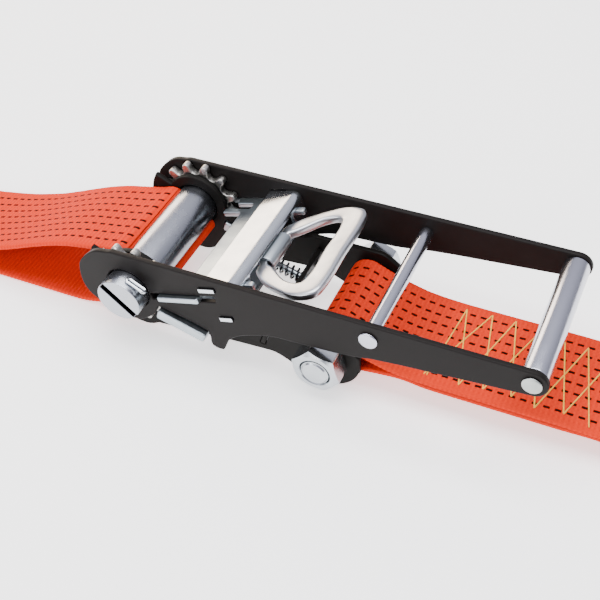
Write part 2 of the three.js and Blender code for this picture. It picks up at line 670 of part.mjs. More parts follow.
// Tail: out of the slot, over the plates' lobe and down onto the load leg
const tailTopZ = legMiddleZ + webbingThickness + clearance;
const tailShares = [[0.211, -0.046], [0.287, -0.04], [0.383, 0.003], [0.566, 0.082], [0.76, 0.141],
  [0.964, 0.233], [1.173, 0.35], [1.39, 0.482], [1.611, 0.61], [1.964, 0.786], [2.277, 0.913], [2.49, 0.98]];
const tailRunShare = 0.37;
const tailReach = loadLegReach - eyeLap - tailEndGap;
const tailRun = tailRunShare * tailReach;
const tailStart = polar(180 - slotTilt, shaftRadius + clearance + clearance);
const tailDrop = tailStart[1] - tailTopZ;
const tailMiddle = [
  tailStart,
  ...tailShares.map(([x, z]) => [-x * tailRun, tailStart[1] - z * tailDrop]),
  [-tailReach, tailTopZ],
];
piece(clamp, 'band_tail', 'webbing',
  across(shapeOf(strapOutline(tailMiddle, webbingThickness, 44)), -webbingHalf, webbingHalf));

// Fixed leg: a loop round the bolt, two plies sewn flat, and an eye at the far end
const boltLoopRadius = boltRadius + 2 * clearance;
const loopOuter = boltLoopRadius + webbingThickness;
const pliesThickness = 2 * webbingThickness;
const plyShares = [[0.045, 0.86], [0.08, 0.66], [0.135, 0.36], [0.215, 0.06], [0.32, -0.07], [0.48, -0.1],
  [0.7, -0.12], [0.86, -0.16]];
const fixedRun = fixedLegReach - boltX;
const plyTop = plyShares.map(([x, z]) => [boltX + x * fixedRun, -boltDrop + z * loopOuter - strapHalf]);
const plyUnder = plyShares.slice(3).map(([x, z]) => [
  boltX + x * fixedRun, -boltDrop + z * loopOuter - strapHalf - pliesThickness]);
const fixedOutline = [
  ...arc(boltX, -boltDrop, loopOuter, 88, 282, 20),
  ...plyUnder,
  ...arc(fixedLegReach, eyeZ, eyeRadius, -125, 125, 16),
  ...plyTop.reverse(),
];
const boltLoopHole = [
  ...arc(boltX, -boltDrop, boltLoopRadius, 55, 305, 16),
  [boltX + loopOuter + boltLoopRadius, -boltDrop - strapHalf],
];
const eyeHole = [
  ...arc(fixedLegReach, eyeZ, eyeRadius - webbingThickness, -130, 130, 14),
  [fixedLegReach - eyeRadius - webbingThickness, eyeZ],
];
piece(clamp, 'band_fixed_leg', 'webbing',
  across(shapeOf(fixedOutline, [boltLoopHole, eyeHole]), -webbingHalf, webbingHalf));

// The origin is under the middle of the clamp, on the surface that it lies on.
const extent = new THREE.Box3().setFromObject(clamp);
clamp.position.set(-(extent.min.x + extent.max.x) / 2, 0, -extent.min.z);
console.log(`shaft axis at x ${clamp.position.x.toFixed(3)}, z ${clamp.position.z.toFixed(3)}`);

export default clamp;
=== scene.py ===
import json
import math

import bmesh
import bpy
import numpy as np
from mathutils import Euler, Matrix, Vector
from mathutils.geometry import tessellate_polygon


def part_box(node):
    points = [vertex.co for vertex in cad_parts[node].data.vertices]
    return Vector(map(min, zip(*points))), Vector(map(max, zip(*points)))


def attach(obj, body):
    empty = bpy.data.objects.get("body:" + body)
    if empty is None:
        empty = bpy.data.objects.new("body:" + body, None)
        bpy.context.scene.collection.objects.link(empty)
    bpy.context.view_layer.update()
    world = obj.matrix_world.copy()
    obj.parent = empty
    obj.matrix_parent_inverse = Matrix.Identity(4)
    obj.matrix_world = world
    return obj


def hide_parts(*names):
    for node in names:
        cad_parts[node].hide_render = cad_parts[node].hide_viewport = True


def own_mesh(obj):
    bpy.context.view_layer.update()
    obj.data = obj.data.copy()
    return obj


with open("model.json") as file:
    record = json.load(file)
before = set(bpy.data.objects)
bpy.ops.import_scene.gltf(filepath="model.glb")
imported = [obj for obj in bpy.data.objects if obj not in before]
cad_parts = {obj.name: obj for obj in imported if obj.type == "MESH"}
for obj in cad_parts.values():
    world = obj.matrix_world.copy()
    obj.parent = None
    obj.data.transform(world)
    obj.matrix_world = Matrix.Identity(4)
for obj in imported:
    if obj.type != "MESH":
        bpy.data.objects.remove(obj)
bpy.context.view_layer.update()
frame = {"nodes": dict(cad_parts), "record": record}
nodes = frame["nodes"]
print("frame loaded:", len(nodes), "nodes")

# everything below is in millimetres about the winding shaft's axis; toWorld makes it metres in the frame
shaftLow = [min(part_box(n)[0][k] for n in ("half_shaft_upper", "half_shaft_lower")) for k in range(3)]
shaftHigh = [max(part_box(n)[1][k] for n in ("half_shaft_upper", "half_shaft_lower")) for k in range(3)]
shaftAxis = (np.array(shaftLow) + np.array(shaftHigh)) / 2
surfaceZ = -shaftAxis[2] * 1000
bodyOf = {node: body for body, names in frame["record"]["behaviour"]["bodies"].items() for node in names}


def toWorld(points):
    return np.asarray(points, float) / 1000 + shaftAxis


# camera: where the photograph was taken from
view = {
    "place": (208.7, -291.25, 298.76), "azimuth": 26.54, "elevation": 44.02, "roll": -3.31,
    "focal": 1037.64, "pixels": 600,   # focal length in pixels of a frame that is this many wide
    "sensor": 36.0, "clip": (0.01, 20.0),
}


def makeCamera():
    data = bpy.data.cameras.new("photoCamera")
    data.sensor_width = view["sensor"]
    data.lens = view["focal"] * view["sensor"] / view["pixels"]
    cam = bpy.data.objects.new("photoCamera", data)
    bpy.context.scene.collection.objects.link(cam)
    turn = Euler((math.radians(90 - view["elevation"]), 0, math.radians(view["azimuth"]))).to_matrix()
    turn = turn @ Matrix.Rotation(math.radians(view["roll"]), 3, "Z")
    cam.matrix_world = Matrix.Translation(Vector(toWorld(view["place"]))) @ turn.to_4x4()
    data.clip_start, data.clip_end = view["clip"]
    bpy.context.scene.camera = cam


makeCamera()


# colour and node helpers
def linear(hexColour):
    # sRGB hex to linear: the two-part sRGB curve on each channel.
    channels = [int(hexColour[i:i + 2], 16) / 255 for i in (1, 3, 5)]
    return tuple(c / 12.92 if c <= 0.04045 else ((c + 0.055) / 1.055) ** 2.4 for c in channels) + (1.0,)


def addNode(tree, kind, inputs=None, settings=None):
    # one node with its settings, and its inputs given as values or as sockets to link.
    node = tree.nodes.new(kind)
    for key, value in (settings or {}).items():
        setattr(node, key, value)
    for key, value in (inputs or {}).items():
        if isinstance(value, bpy.types.NodeSocket):
            tree.links.new(value, node.inputs[key])
        else:
            node.inputs[key].default_value = value
    return node


def newMaterial(name, sockets):
    # a material whose shader takes each socket's value as it is, and colours as hex.
    material = bpy.data.materials.new(name)
    material.use_nodes = True
    shader = material.node_tree.nodes["Principled BSDF"]
    for key, value in sockets.items():
        shader.inputs[key].default_value = linear(value) if isinstance(value, str) else value
    return material, material.node_tree, shader


# studio: a pale floor, a wide soft light overhead and two at the sides
studio = {
    "sky": 1.3, "horizon": 0.5, "skyFull": 0.8, "skyColour": "#e0e0ee",
    "floorHalf": 3.0, "floorLevel": -0.0003, "floorColour": "#f6f6f4", "floorGlow": 1.1,
    "lights": {
        "softTop": {"place": (60, 60, 950), "aim": (60, 0, 0), "size": (1.1, 0.7), "watts": 18,
                    "colour": "#ffffff"},
        "creamLeft": {"place": (-790, 690, 345), "aim": (30, 0, 5), "size": (0.75, 0.5), "watts": 10,
                      "colour": "#ffe9cf"},
        "softFront": {"place": (-350, -950, 420), "aim": (-40, 0, -10), "size": (1.0, 0.6), "watts": 10,
                      "colour": "#ffffff"},
    },
}


def areaLight(name, place, aim, size, watts, colour):
    data = bpy.data.lights.new(name, "AREA")
    data.shape = "RECTANGLE"
    data.size, data.size_y = size
    data.energy, data.color = watts, linear(colour)[:3]
    lamp = bpy.data.objects.new(name, data)
    bpy.context.scene.collection.objects.link(lamp)
    spot, target = Vector(toWorld(place)), Vector(toWorld(aim))
    turn = (target - spot).to_track_quat("-Z", "Y").to_matrix().to_4x4()
    lamp.matrix_world = Matrix.Translation(spot) @ turn


def makeStudio():
    world = bpy.data.worlds.new("paleStudio")
    world.use_nodes = True
    tree = world.node_tree
    place = addNode(tree, "ShaderNodeTexCoord")
    split = addNode(tree, "ShaderNodeSeparateXYZ", {"Vector": place.outputs["Generated"]})
    level = addNode(tree, "ShaderNodeMapRange", {
        "Value": split.outputs["Z"], "From Min": 0.0, "From Max": studio["skyFull"],
        "To Min": studio["horizon"], "To Max": studio["sky"]})
    tree.links.new(level.outputs["Result"], tree.nodes["Background"].inputs["Strength"])
    tree.nodes["Background"].inputs["Color"].default_value = linear(studio["skyColour"])
    bpy.context.scene.world = world
    half = studio["floorHalf"]
    mesh = bpy.data.meshes.new("studioFloor")
    corners = [(x * half, y * half, studio["floorLevel"]) for x, y in ((-1, -1), (1, -1), (1, 1), (-1, 1))]
    mesh.from_pydata(corners, [], [(0, 1, 2, 3)])
    floor = bpy.data.objects.new("studioFloor", mesh)
    bpy.context.scene.collection.objects.link(floor)
    material, tree, shader = newMaterial("paleFloor", {
        "Base Color": studio["floorColour"], "Roughness": 0.9, "Specular IOR Level": 0.1,
        "Emission Color": "#ffffff", "Emission Strength": studio["floorGlow"]})
    mesh.materials.append(material)
    for name, lamp in studio["lights"].items():
        areaLight(name, **lamp)


makeStudio()
print("camera and studio made")


# finishes
def objectPlace(tree, scale=(1.0, 1.0, 1.0)):
    # object coordinates scaled so that one unit is one millimetre, times scale along each axis.
    place = addNode(tree, "ShaderNodeTexCoord")
    return addNode(tree, "ShaderNodeMapping", {
        "Vector": place.outputs["Object"], "Scale": tuple(1000 * s for s in scale)}).outputs["Vector"]


def wireShader(tree, shader, tone, bump, gloss=None):
    # the last links of every finish
    tree.links.new(tone.outputs[2], shader.inputs["Base Color"])
    tree.links.new(bump.outputs["Normal"], shader.inputs["Normal"])
    if gloss:
        tree.links.new(gloss.outputs["Result"], shader.inputs["Roughness"])


def paint(name, colour, worn, roughness):
    # satin black paint on steel: an even dark coat, its gloss broken by orange peel of 0.6 mm and faint
    # dust.
    material, tree, shader = newMaterial(name, {"Specular IOR Level": 0.08})
    mm = objectPlace(tree)
    dust = addNode(tree, "ShaderNodeTexNoise", {"Vector": mm, "Scale": 0.06, "Detail": 6.0, "Roughness": 0.6})
    peel = addNode(tree, "ShaderNodeTexNoise", {"Vector": mm, "Scale": 1.6, "Detail": 2.0})
    tone = addNode(tree, "ShaderNodeMix", {
        "Factor": dust.outputs["Fac"], 6: linear(colour), 7: linear(worn)}, {"data_type": "RGBA"})
    gloss = addNode(tree, "ShaderNodeMapRange", {
        "Value": dust.outputs["Fac"], "From Min": 0.3, "From Max": 0.7,
        "To Min": roughness - 0.06, "To Max": roughness + 0.08})
    bump = addNode(tree, "ShaderNodeBump", {
        "Height": peel.outputs["Fac"], "Strength": 0.12, "Distance": 0.00006})
    wireShader(tree, shader, tone, bump, gloss)
    return material


def zinc(name, colour, tarnish, roughness, grain=(1.0, 1.0, 1.0), scratch=0.03):
    # zinc plate on steel: pale blue-grey metal, clouded every few millimetres, with fine lines along the
    # grain.
    material, tree, shader = newMaterial(name, {"Metallic": 1.0})
    cloud = addNode(tree, "ShaderNodeTexNoise", {
        "Vector": objectPlace(tree), "Scale": 0.16, "Detail": 5.0, "Roughness": 0.55})
    lines = addNode(tree, "ShaderNodeTexNoise", {
        "Vector": objectPlace(tree, grain), "Scale": 1.4, "Detail": 4.0, "Roughness": 0.6})
    tone = addNode(tree, "ShaderNodeMix", {
        "Factor": cloud.outputs["Fac"], 6: linear(colour), 7: linear(tarnish)}, {"data_type": "RGBA"})
    gloss = addNode(tree, "ShaderNodeMapRange", {
        "Value": cloud.outputs["Fac"], "From Min": 0.3, "From Max": 0.7,
        "To Min": roughness - 0.03, "To Max": roughness + 0.06})
    bump = addNode(tree, "ShaderNodeBump", {
        "Height": lines.outputs["Fac"], "Strength": scratch, "Distance": 0.0001})
    wireShader(tree, shader, tone, bump, gloss)
    return material


slotTilt = 42   # degrees that the shaft's slot falls towards the grip
# tones for the shaft and gears: the slot and disc tones are painted shade, the pit and tooth tones are the
# zinc's own
shadeAndZincTones = {"slot": "#1c1918", "disc": "#2e2b2a", "pit": "#4a4644", "tooth": "#e2e0da"}


def paintSlotShade(material):
    # painted shade in the shaft's slot: the plating shows where the distance from the slot's middle plane
    # passes 1.5 mm
    tree = material.node_tree
    shader = tree.nodes["Principled BSDF"]
    tilt = math.radians(slotTilt)
    place = addNode(tree, "ShaderNodeTexCoord")
    shifted = addNode(tree, "ShaderNodeVectorMath", {
        0: place.outputs["Object"], 1: tuple(shaftAxis)}, {"operation": "SUBTRACT"})
    away = addNode(tree, "ShaderNodeVectorMath", {
        0: shifted.outputs["Vector"], 1: (1000 * math.sin(tilt), 0.0, 1000 * math.cos(tilt))},
        {"operation": "DOT_PRODUCT"})
    size = addNode(tree, "ShaderNodeMath", {0: away.outputs["Value"]}, {"operation": "ABSOLUTE"})
    plated = addNode(tree, "ShaderNodeMapRange", {
        "Value": size.outputs["Value"], "From Min": 1.46, "From Max": 1.58, "To Min": 0.0, "To Max": 1.0})
    colour = shader.inputs["Base Color"].links[0].from_socket
    # inside the slot the colour is painted shade
    tone = addNode(tree, "ShaderNodeMix", {
        "Factor": plated.outputs["Result"], 6: linear(shadeAndZincTones["slot"]), 7: colour}, {"data_type": "RGBA"})
    tree.links.new(tone.outputs[2], shader.inputs["Base Color"])
    return material


def gearSteel(name):
    # blanked teeth of bright mottled zinc round a disc painted dark as shade: the tone follows the distance
    # from the shaft's axis, painted shade within 13.6 mm and bright beyond 15.4 mm, broken by pits of 1 to 2
    # mm.
    material, tree, shader = newMaterial(name, {"Metallic": 1.0})
    place = addNode(tree, "ShaderNodeTexCoord")
    shifted = addNode(tree, "ShaderNodeVectorMath", {
        0: place.outputs["Object"], 1: tuple(shaftAxis)}, {"operation": "SUBTRACT"})
    flat = addNode(tree, "ShaderNodeVectorMath", {
        0: shifted.outputs["Vector"], 1: (1000.0, 0.0, 1000.0)}, {"operation": "MULTIPLY"})
    away = addNode(tree, "ShaderNodeVectorMath", {0: flat.outputs["Vector"]}, {"operation": "LENGTH"})
    pits = addNode(tree, "ShaderNodeTexNoise", {"Vector": objectPlace(tree), "Scale": 0.8, "Detail": 4.0})
    onTeeth = addNode(tree, "ShaderNodeMapRange", {
        "Value": away.outputs["Value"], "From Min": 13.6, "From Max": 15.4, "To Min": 0.0, "To Max": 1.0})
    bright = addNode(tree, "ShaderNodeMix", {
        "Factor": pits.outputs["Fac"], 6: linear(shadeAndZincTones["pit"]), 7: linear(shadeAndZincTones["tooth"])},
        {"data_type": "RGBA"})
    # within the teeth the disc tone is painted shade
    tone = addNode(tree, "ShaderNodeMix", {
        "Factor": onTeeth.outputs["Result"], 6: linear(shadeAndZincTones["disc"]), 7: bright.outputs[2]},
        {"data_type": "RGBA"})
    gloss = addNode(tree, "ShaderNodeMapRange", {
        "Value": pits.outputs["Fac"], "From Min": 0.3, "From Max": 0.7, "To Min": 0.5, "To Max": 0.22})
    bump = addNode(tree, "ShaderNodeBump", {
        "Height": pits.outputs["Fac"], "Strength": 0.35, "Distance": 0.0003})
    wireShader(tree, shader, tone, bump, gloss)
    return material


finishes = {
    "handlePaint": paint("satinPaintHandle", "#131110", "#1c1918", 0.42),
    "framePaint": paint("satinPaintFrame", "#100f0e", "#181614", 0.46),
    "shaftZinc": paintSlotShade(zinc("drawnZincShaft", "#aeb1b8", "#9ea1a8", 0.24, (1.0, 0.06, 1.0), 0.01)),
    "gearZinc": gearSteel("blankedZincGear"),
    "brightZinc": zinc("brightZincPlate", "#d2d6da", "#c2c7cd", 0.2, (1.0, 0.1, 1.0)),
    "pawlZinc": zinc("stampedZincPlate", "#b6bec2", "#9ca5ab", 0.34, (0.1, 1.0, 1.0)),
    "boltZinc": zinc("forgedZincBolt", "#bec2c6", "#a4a8ac", 0.22),
    "gripZinc": zinc("smoothZincTube", "#c2c3cd", "#b2b4be", 0.2, (1.0, 0.05, 1.0), 0.01),
    "rivetZinc": zinc("hammeredZincRivet", "#b9bdb9", "#959997", 0.38, scratch=0.25),
    "bailZinc": zinc("forgedZincBail", "#c6c8cb", "#b0b3b8", 0.3, scratch=0.06),
    "springSteel": zinc("drawnSpringWire", "#6c6e72", "#3c3d40", 0.25),
}
print("metal finishes made")


# shape helpers
def turned(a, b, degreesDown, x=0.0, z=0.0):
    # points (a, b) of a frame that falls by degreesDown towards +X, moved to (x, z).
    c, s = math.cos(math.radians(degreesDown)), math.sin(math.radians(degreesDown))
    return x + np.asarray(a) * c + np.asarray(b) * s, z - np.asarray(a) * s + np.asarray(b) * c


def arc(x, z, radius, start, end, steps):
    turn = np.radians(np.linspace(start, end, steps + 1))
    return np.stack([x + radius * np.cos(turn), z + radius * np.sin(turn)], 1)


def circle(x, z, radius, steps):
    return arc(x, z, radius, 0, 360 - 360 / steps, steps - 1)


def polar(degrees, radius):
    return [radius * math.cos(math.radians(degrees)), radius * math.sin(math.radians(degrees))]


def unit(vectors):
    return vectors / np.maximum(np.linalg.norm(vectors, axis=-1, keepdims=True), 1e-12)


def smoothLoop(points, steps=4, cornerDegrees=38, straightFrom=9):
    # a closed Hermite curve through the points: long chords stay straight, sharp turns stay corners,
    # and elsewhere the tangent is the mean of the two chords' directions weighted by the other's length.
    points = np.asarray(points, float)
    chord = np.roll(points, -1, 0) - points
    length = np.linalg.norm(chord, axis=1, keepdims=True)
    way = chord / length
    before, lengthBefore = np.roll(way, 1, 0), np.roll(length, 1, 0)
    turn = np.degrees(np.arccos(np.clip((way * before).sum(1, keepdims=True), -1, 1)))
    straight, straightBefore = length > straightFrom, np.roll(length, 1, 0) > straightFrom
    mean = unit(way * lengthBefore + before * length)
    leaving = np.where((turn > cornerDegrees) | straight, way, np.where(straightBefore, before, mean))
    arriving = np.where((turn > cornerDegrees) | straightBefore, before, np.where(straight, way, mean))
    end, arriving = np.roll(points, -1, 0), np.roll(arriving, -1, 0)
    t = np.linspace(0, 1, steps, endpoint=False)[:, None, None]
    curve = (points * (2 * t**3 - 3 * t**2 + 1) + end * (3 * t**2 - 2 * t**3)
             + leaving * length * (t**3 - 2 * t**2 + t) + arriving * length * (t**3 - t**2))
    return curve.transpose(1, 0, 2).reshape(-1, 2)


def rounded(points, radius, steps=5, sideShare=0.48):
    # a closed outline with each corner replaced by an arc of the radius, or less where its sides are short.
    points = np.asarray(points, float)
    before, after = np.roll(points, 1, 0), np.roll(points, -1, 0)
    inward, outward = unit(before - points), unit(after - points)
    half = np.arccos(np.clip((inward * outward).sum(1), -1, 1)) / 2
    room = sideShare * np.minimum(
        np.linalg.norm(before - points, axis=1), np.linalg.norm(after - points, axis=1))
    reach = np.minimum(radius / np.tan(half), room)
    start, end = points + inward * reach[:, None], points + outward * reach[:, None]
    t = np.linspace(0, 1, steps + 1)[:, None, None]
    weight = np.cos(math.pi / 2 - half)[None, :, None]
    blend = (1 - t) ** 2 * start + 2 * t * (1 - t) * weight * points + t**2 * end
    curve = blend / ((1 - t) ** 2 + 2 * t * (1 - t) * weight + t**2)
    return curve.transpose(1, 0, 2).reshape(-1, 2)


def signedArea(loop):
    after = np.roll(loop, -1, 0)
    return 0.5 * (loop[:, 0] * after[:, 1] - after[:, 0] * loop[:, 1]).sum()


def gridFaces(rows, columns, closeRows=False, closeColumns=True, along=None, around=None):
    # quads between neighbouring rows and columns, and their corners' UV as (around, along).
    i, j = np.meshgrid(np.arange(rows if closeRows else rows - 1),
                       np.arange(columns if closeColumns else columns - 1), indexing="ij")
    corners = [(i.ravel() + a, j.ravel() + b) for a, b in ((0, 0), (0, 1), (1, 1), (1, 0))]
    quads = np.stack([(a % rows) * columns + b % columns for a, b in corners], 1)
    if along is None:
        return quads, None
    return quads, np.stack([np.stack([around[b], along[a]], 1) for a, b in corners], 1).reshape(-1, 2)


def plateShape(loops, low, high, edge, steps=4, rim=0.12, mitreLimit=0.35):
    # a plate with rounded edges as (a, b, c): each loop is carried through thickness c by a profile that is
    # a quarter circle, a wall and a quarter circle, moved along the loop's mitred normal, and both faces
    # are filled.
    quarter = np.radians(np.linspace(0, 90, steps + 1))
    inset = edge * (1 - np.sin(quarter))
    rise = edge * (1 - np.cos(quarter))
    inset = np.concatenate([[edge + rim], inset, inset[::-1], [edge + rim]])
    level = np.concatenate([[low], low + rise, high - rise[::-1], [high]])
    parts, rims = [], []
    for number, loop in enumerate(loops):
        loop = np.asarray(loop, float)
        if (signedArea(loop) > 0) == (number > 0):
            loop = loop[::-1]
        way = unit(np.roll(loop, -1, 0) - loop)
        normal = np.stack([way[:, 1], -way[:, 0]], 1)
        before = np.roll(normal, 1, 0)
        mitre = (normal + before) / np.maximum(1 + (normal * before).sum(1, keepdims=True), mitreLimit)
        flat = loop[None] - mitre[None] * inset[:, None, None]
        points = np.concatenate([flat, np.broadcast_to(level[:, None, None], flat.shape[:2] + (1,))], 2)
        parts.append({"points": points, "quads": gridFaces(*points.shape[:2])[0], "caps": []})
        rims.append((points[0], points[-1]))
    starts = np.cumsum([0] + [part["points"].shape[0] * part["points"].shape[1] for part in parts])
    for side in (0, 1):
        where = np.concatenate([
            start + (0 if side == 0 else part["points"].shape[0] - 1) * part["points"].shape[1]
            + np.arange(part["points"].shape[1]) for start, part in zip(starts, parts)])
        outlines = [[Vector((p[0], p[1], 0)) for p in rim[side]] for rim in rims]
        for triangle in tessellate_polygon(outlines):
            parts[0]["caps"].append([int(where[k]) for k in triangle])
    return parts


def standing(parts):
    # (a, b, c) to a plate that stands along the sides: a is x, b is z and c is y.
    return [dict(part, points=part["points"][..., [0, 2, 1]]) for part in parts]


def lying(parts, degreesDown, x, z):
    # (a, b, c) to a plate across the width in a tilted frame: a runs along it, b is y and c is its
    # thickness.
    made = []
    for part in parts:
        px, pz = turned(part["points"][..., 0], part["points"][..., 2], degreesDown, x, z)
        made.append(dict(part, points=np.stack([px, part["points"][..., 1], pz], -1)))
    return made


def tube(centres, normals, radius, sides=8, closed=False, tip=0.02):
    # a round wire: at each centre a circle in the plane of the given normal and the side that is square to
    # both it and the path, with the radius running down to a point over the first and last radius of an
    # open path.
    centres, normals = np.asarray(centres, float), np.asarray(normals, float)
    if closed:
        way = unit(np.roll(centres, -1, 0) - np.roll(centres, 1, 0))
    else:
        way = unit(np.gradient(centres, axis=0))
    side = unit(np.cross(way, normals))
    up = np.cross(side, way)
    size = np.full(len(centres), float(radius))
    if not closed:
        run = np.concatenate([[0], np.cumsum(np.linalg.norm(np.diff(centres, axis=0), axis=1))])
        ends = np.minimum(run, run[-1] - run) / radius
        size = radius * np.sqrt(np.clip(1 - (1 - np.clip(ends, tip, 1)) ** 2, 0, 1))
    turn = np.linspace(0, 2 * math.pi, sides, endpoint=False)[None, :, None]
    around = np.cos(turn) * up[:, None] + np.sin(turn) * side[:, None]
    ring = centres[:, None] + size[:, None, None] * around
    count = len(centres) * sides
    caps = [] if closed else [list(range(sides)), list(range(count - sides, count))]
    return {"points": ring, "quads": gridFaces(len(centres), sides, closeRows=closed)[0], "caps": caps}


def lathe(profile, x, z, steps=64, radiusAt=None):
    # a profile of (radius, y) turned about a line across the width; radiusAt may change the radius with the
    # turn.
    profile = np.asarray(profile, float)
    turn = np.linspace(0, 2 * math.pi, steps, endpoint=False)
    radius = np.broadcast_to(profile[:, :1], (len(profile), steps))
    y = np.broadcast_to(profile[:, 1:], radius.shape)
    if radiusAt is not None:
        radius, y = radiusAt(radius, y, turn)
    points = np.stack([x + radius * np.cos(turn), y, z + radius * np.sin(turn)], -1)
    last = (len(profile) - 1) * steps
    return {"points": points, "quads": gridFaces(len(profile), steps)[0],
            "caps": [list(range(steps)), list(range(last, last + steps))]}


sharpEdge = 35   # degrees past which an edge is sharp


def makePiece(name, parts, finish, stands=(), body=None, sharpDegrees=sharpEdge, uvName=None, slot=None):
    # joins parts, each a grid of points with quads and caps, into one object that rides on its body.
    points, faces, uvs, start = [], [], [], 0
    for part in parts:
        flat = part["points"].reshape(-1, 3)
        points.append(flat)
        faces += (part["quads"] + start).tolist()
        uvs.append(part["uv"] if part.get("uv") is not None else np.zeros((part["quads"].size, 2)))
        for cap in part["caps"]:
            faces.append([index + start for index in cap])   # a plate's caps also reach its holes' points
            uvs.append(np.zeros((len(cap), 2)))
        start += len(flat)
    mesh = bpy.data.meshes.new(name)
    mesh.from_pydata(toWorld(np.concatenate(points)).tolist(), [], faces)
    if uvName:
        mesh.uv_layers.new(name=uvName).data.foreach_set("uv", np.concatenate(uvs).ravel())
    build = bmesh.new()
    build.from_mesh(mesh)
    bmesh.ops.recalc_face_normals(build, faces=build.faces)
    build.to_mesh(mesh)
    build.free()
    mesh.shade_smooth()
    mesh.set_sharp_from_angle(angle=math.radians(sharpDegrees))
    return place(name, mesh, finish, stands, body, slot)


def place(name, mesh, finish, stands=(), body=None, slot=None):
    # puts a mesh in the scene, on its CAD nodes' body and with the finish as its material; slot is not used.
    piece = bpy.data.objects.new(name, mesh)
    bpy.context.scene.collection.objects.link(piece)
    mesh.materials.clear()
    mesh.materials.append(finishes[finish] if isinstance(finish, str) else finish)
    stands = [stands] if isinstance(stands, str) else list(stands)
    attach(piece, body or bodyOf[stands[0]])
    if stands:
        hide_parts(*stands)
    return piece


def softened(name, node, finish, width, segments=3):
    # a merged copy of a CAD node, its flat triangles joined, with a Bevel along every edge sharper than 35
    # degrees.
    mesh = nodes[node].data.copy()
    mesh.name = name
    build = bmesh.new()
    build.from_mesh(mesh)
    bmesh.ops.remove_doubles(build, verts=build.verts, dist=1e-6)
    bmesh.ops.dissolve_limit(build, angle_limit=math.radians(1), verts=build.verts, edges=build.edges)
    build.to_mesh(mesh)
    build.free()
    mesh.shade_smooth()
    piece = place(name, mesh, finish, node)
    bevel = piece.modifiers.new("roundedEdges", "BEVEL")
    bevel.width, bevel.segments = width / 1000, segments
    bevel.limit_method, bevel.angle_limit = "ANGLE", math.radians(sharpEdge)
    bevel.harden_normals = True
    return piece


sides = (("near", -1), ("far", 1))


def outwards(side, low, high):
    return (low, high) if side > 0 else (-high, -low)


# handle side plates
handle = {
    "inner": 32.9, "outer": 35.5, "edge": 0.55, "rise": 18.7, "gripX": 172.6, "gripRise": 12.63,
    "topStart": -0.03,
    "camShares": [(113.6, 19.7), (127, 21.4), (136, 22.1), (145, 22.6), (154, 23.4), (162, 24), (168, 24),
                  (175, 23.9), (183, 23.8), (191, 23.7), (198, 23.3), (205, 22.7), (212, 21.7), (222, 20.7),
                  (233, 19.8), (244, 19), (255, 18.4), (266, 17.8), (277, 17.3), (287, 17), (299, 16.2),
                  (309, 15.8), (318, 15.5), (326, 15.1)],
    "underShares": [(0.0805, -0.283), (0.14, -0.41), (0.18, -0.508), (0.214, -0.62), (0.219, -0.797),
                    (0.219, -0.968), (0.223, -1.05), (0.231, -1.085), (0.244, -1.1), (0.253, -1.091),
                    (0.261, -0.898), (0.268, -0.759), (0.28, -0.631), (0.304, -0.471), (0.325, -0.38),
                    (0.345, -0.305), (0.365, -0.238), (0.385, -0.193), (0.411, -0.16), (0.488, -0.128),
                    (0.55, -0.1), (0.605, -0.03), (0.64, 0.04), (0.7, 0.105)],
    "bore": 10.3, "pull": (15.5, 0.9, -16), "pullSlot": (-4.4, 28.0, 1.55),
    "tabSlots": [(22.1, 30.2, 3.8, 6.2), (26.7, 33.2, -11.2, -8.8)], "endArc": (-85, 90, 12),
    "boreSteps": 72,
}


def tiltedRect(x, z, degreesDown, start, end, low, high, corner=0.6):
    box = rounded([(start, low), (end, low), (end, high), (start, high)], corner, 3)
    return np.stack(turned(box[:, 0], box[:, 1], degreesDown, x, z), 1)


def makeHandlePlates():
    h = handle
    x, z, tilt = h["pull"]
    outline = [(h["topStart"] * h["gripX"], h["rise"])]
    outline += [polar(degrees, radius) for degrees, radius in h["camShares"]]
    outline += [(a * h["gripX"], b * h["rise"]) for a, b in h["underShares"]]
    outline += arc(h["gripX"], h["gripRise"], h["rise"] - h["gripRise"], *h["endArc"]).tolist()
    start, end, half = h["pullSlot"]
    loops = [smoothLoop(outline), circle(0, 0, h["bore"], h["boreSteps"])]
    loops += [tiltedRect(x, z, tilt, start, end, -half, half)]
    loops += [tiltedRect(x, z, tilt, *slot) for slot in h["tabSlots"]]
    for label, side in sides:
        shape = plateShape(loops, *outwards(side, h["inner"], h["outer"]), h["edge"])
        makePiece(f"handlePlate_{label}", standing(shape), "handlePaint", f"handle_plate_{label}")


makeHandlePlates()

# frame side plates
plates = {
    "inner": 26.0, "outer": 28.6, "edge": 0.5, "headRadius": 14.8, "boltX": 87.0, "boltZ": -13.8,
    "eyeRadius": 15.8,
    "lobe": [(151, 23.3), (162, 23.3), (172, 23.3), (184, 23.5), (196, 23.8), (208, 24.2), (221, 24.7),
             (234, 25.2), (248, 25.8), (262, 26.4), (275, 26.6), (281, 26.1), (288, 25.4)],
    "under": [(44.0, -21.2), (62.0, -20.2), (66.6, -21.1), (69.4, -22.5), (72.2, -23.87)],
    "back": [(102.5, -18.0), (102.5, -10.0), (97.5, -5.5), (90.0, -1.7), (58.0, -1.7)],
    "step": (53.9, -3.2), "bore": 10.3, "base": (13.9, -8.2, 17.5),
    "pawlSlot": (-0.3, 28.0, -2.7, 2.7), "bridgeSlot": (44.2, 46.8, 4.9, 13.1), "bridgeEdge": 0.4,
    "headArc": (-12, 149, 22), "eyeArc": (-130, -15, 14), "boltBore": 6.3,
    "boreSteps": 72, "boltBoreSteps": 36,
}


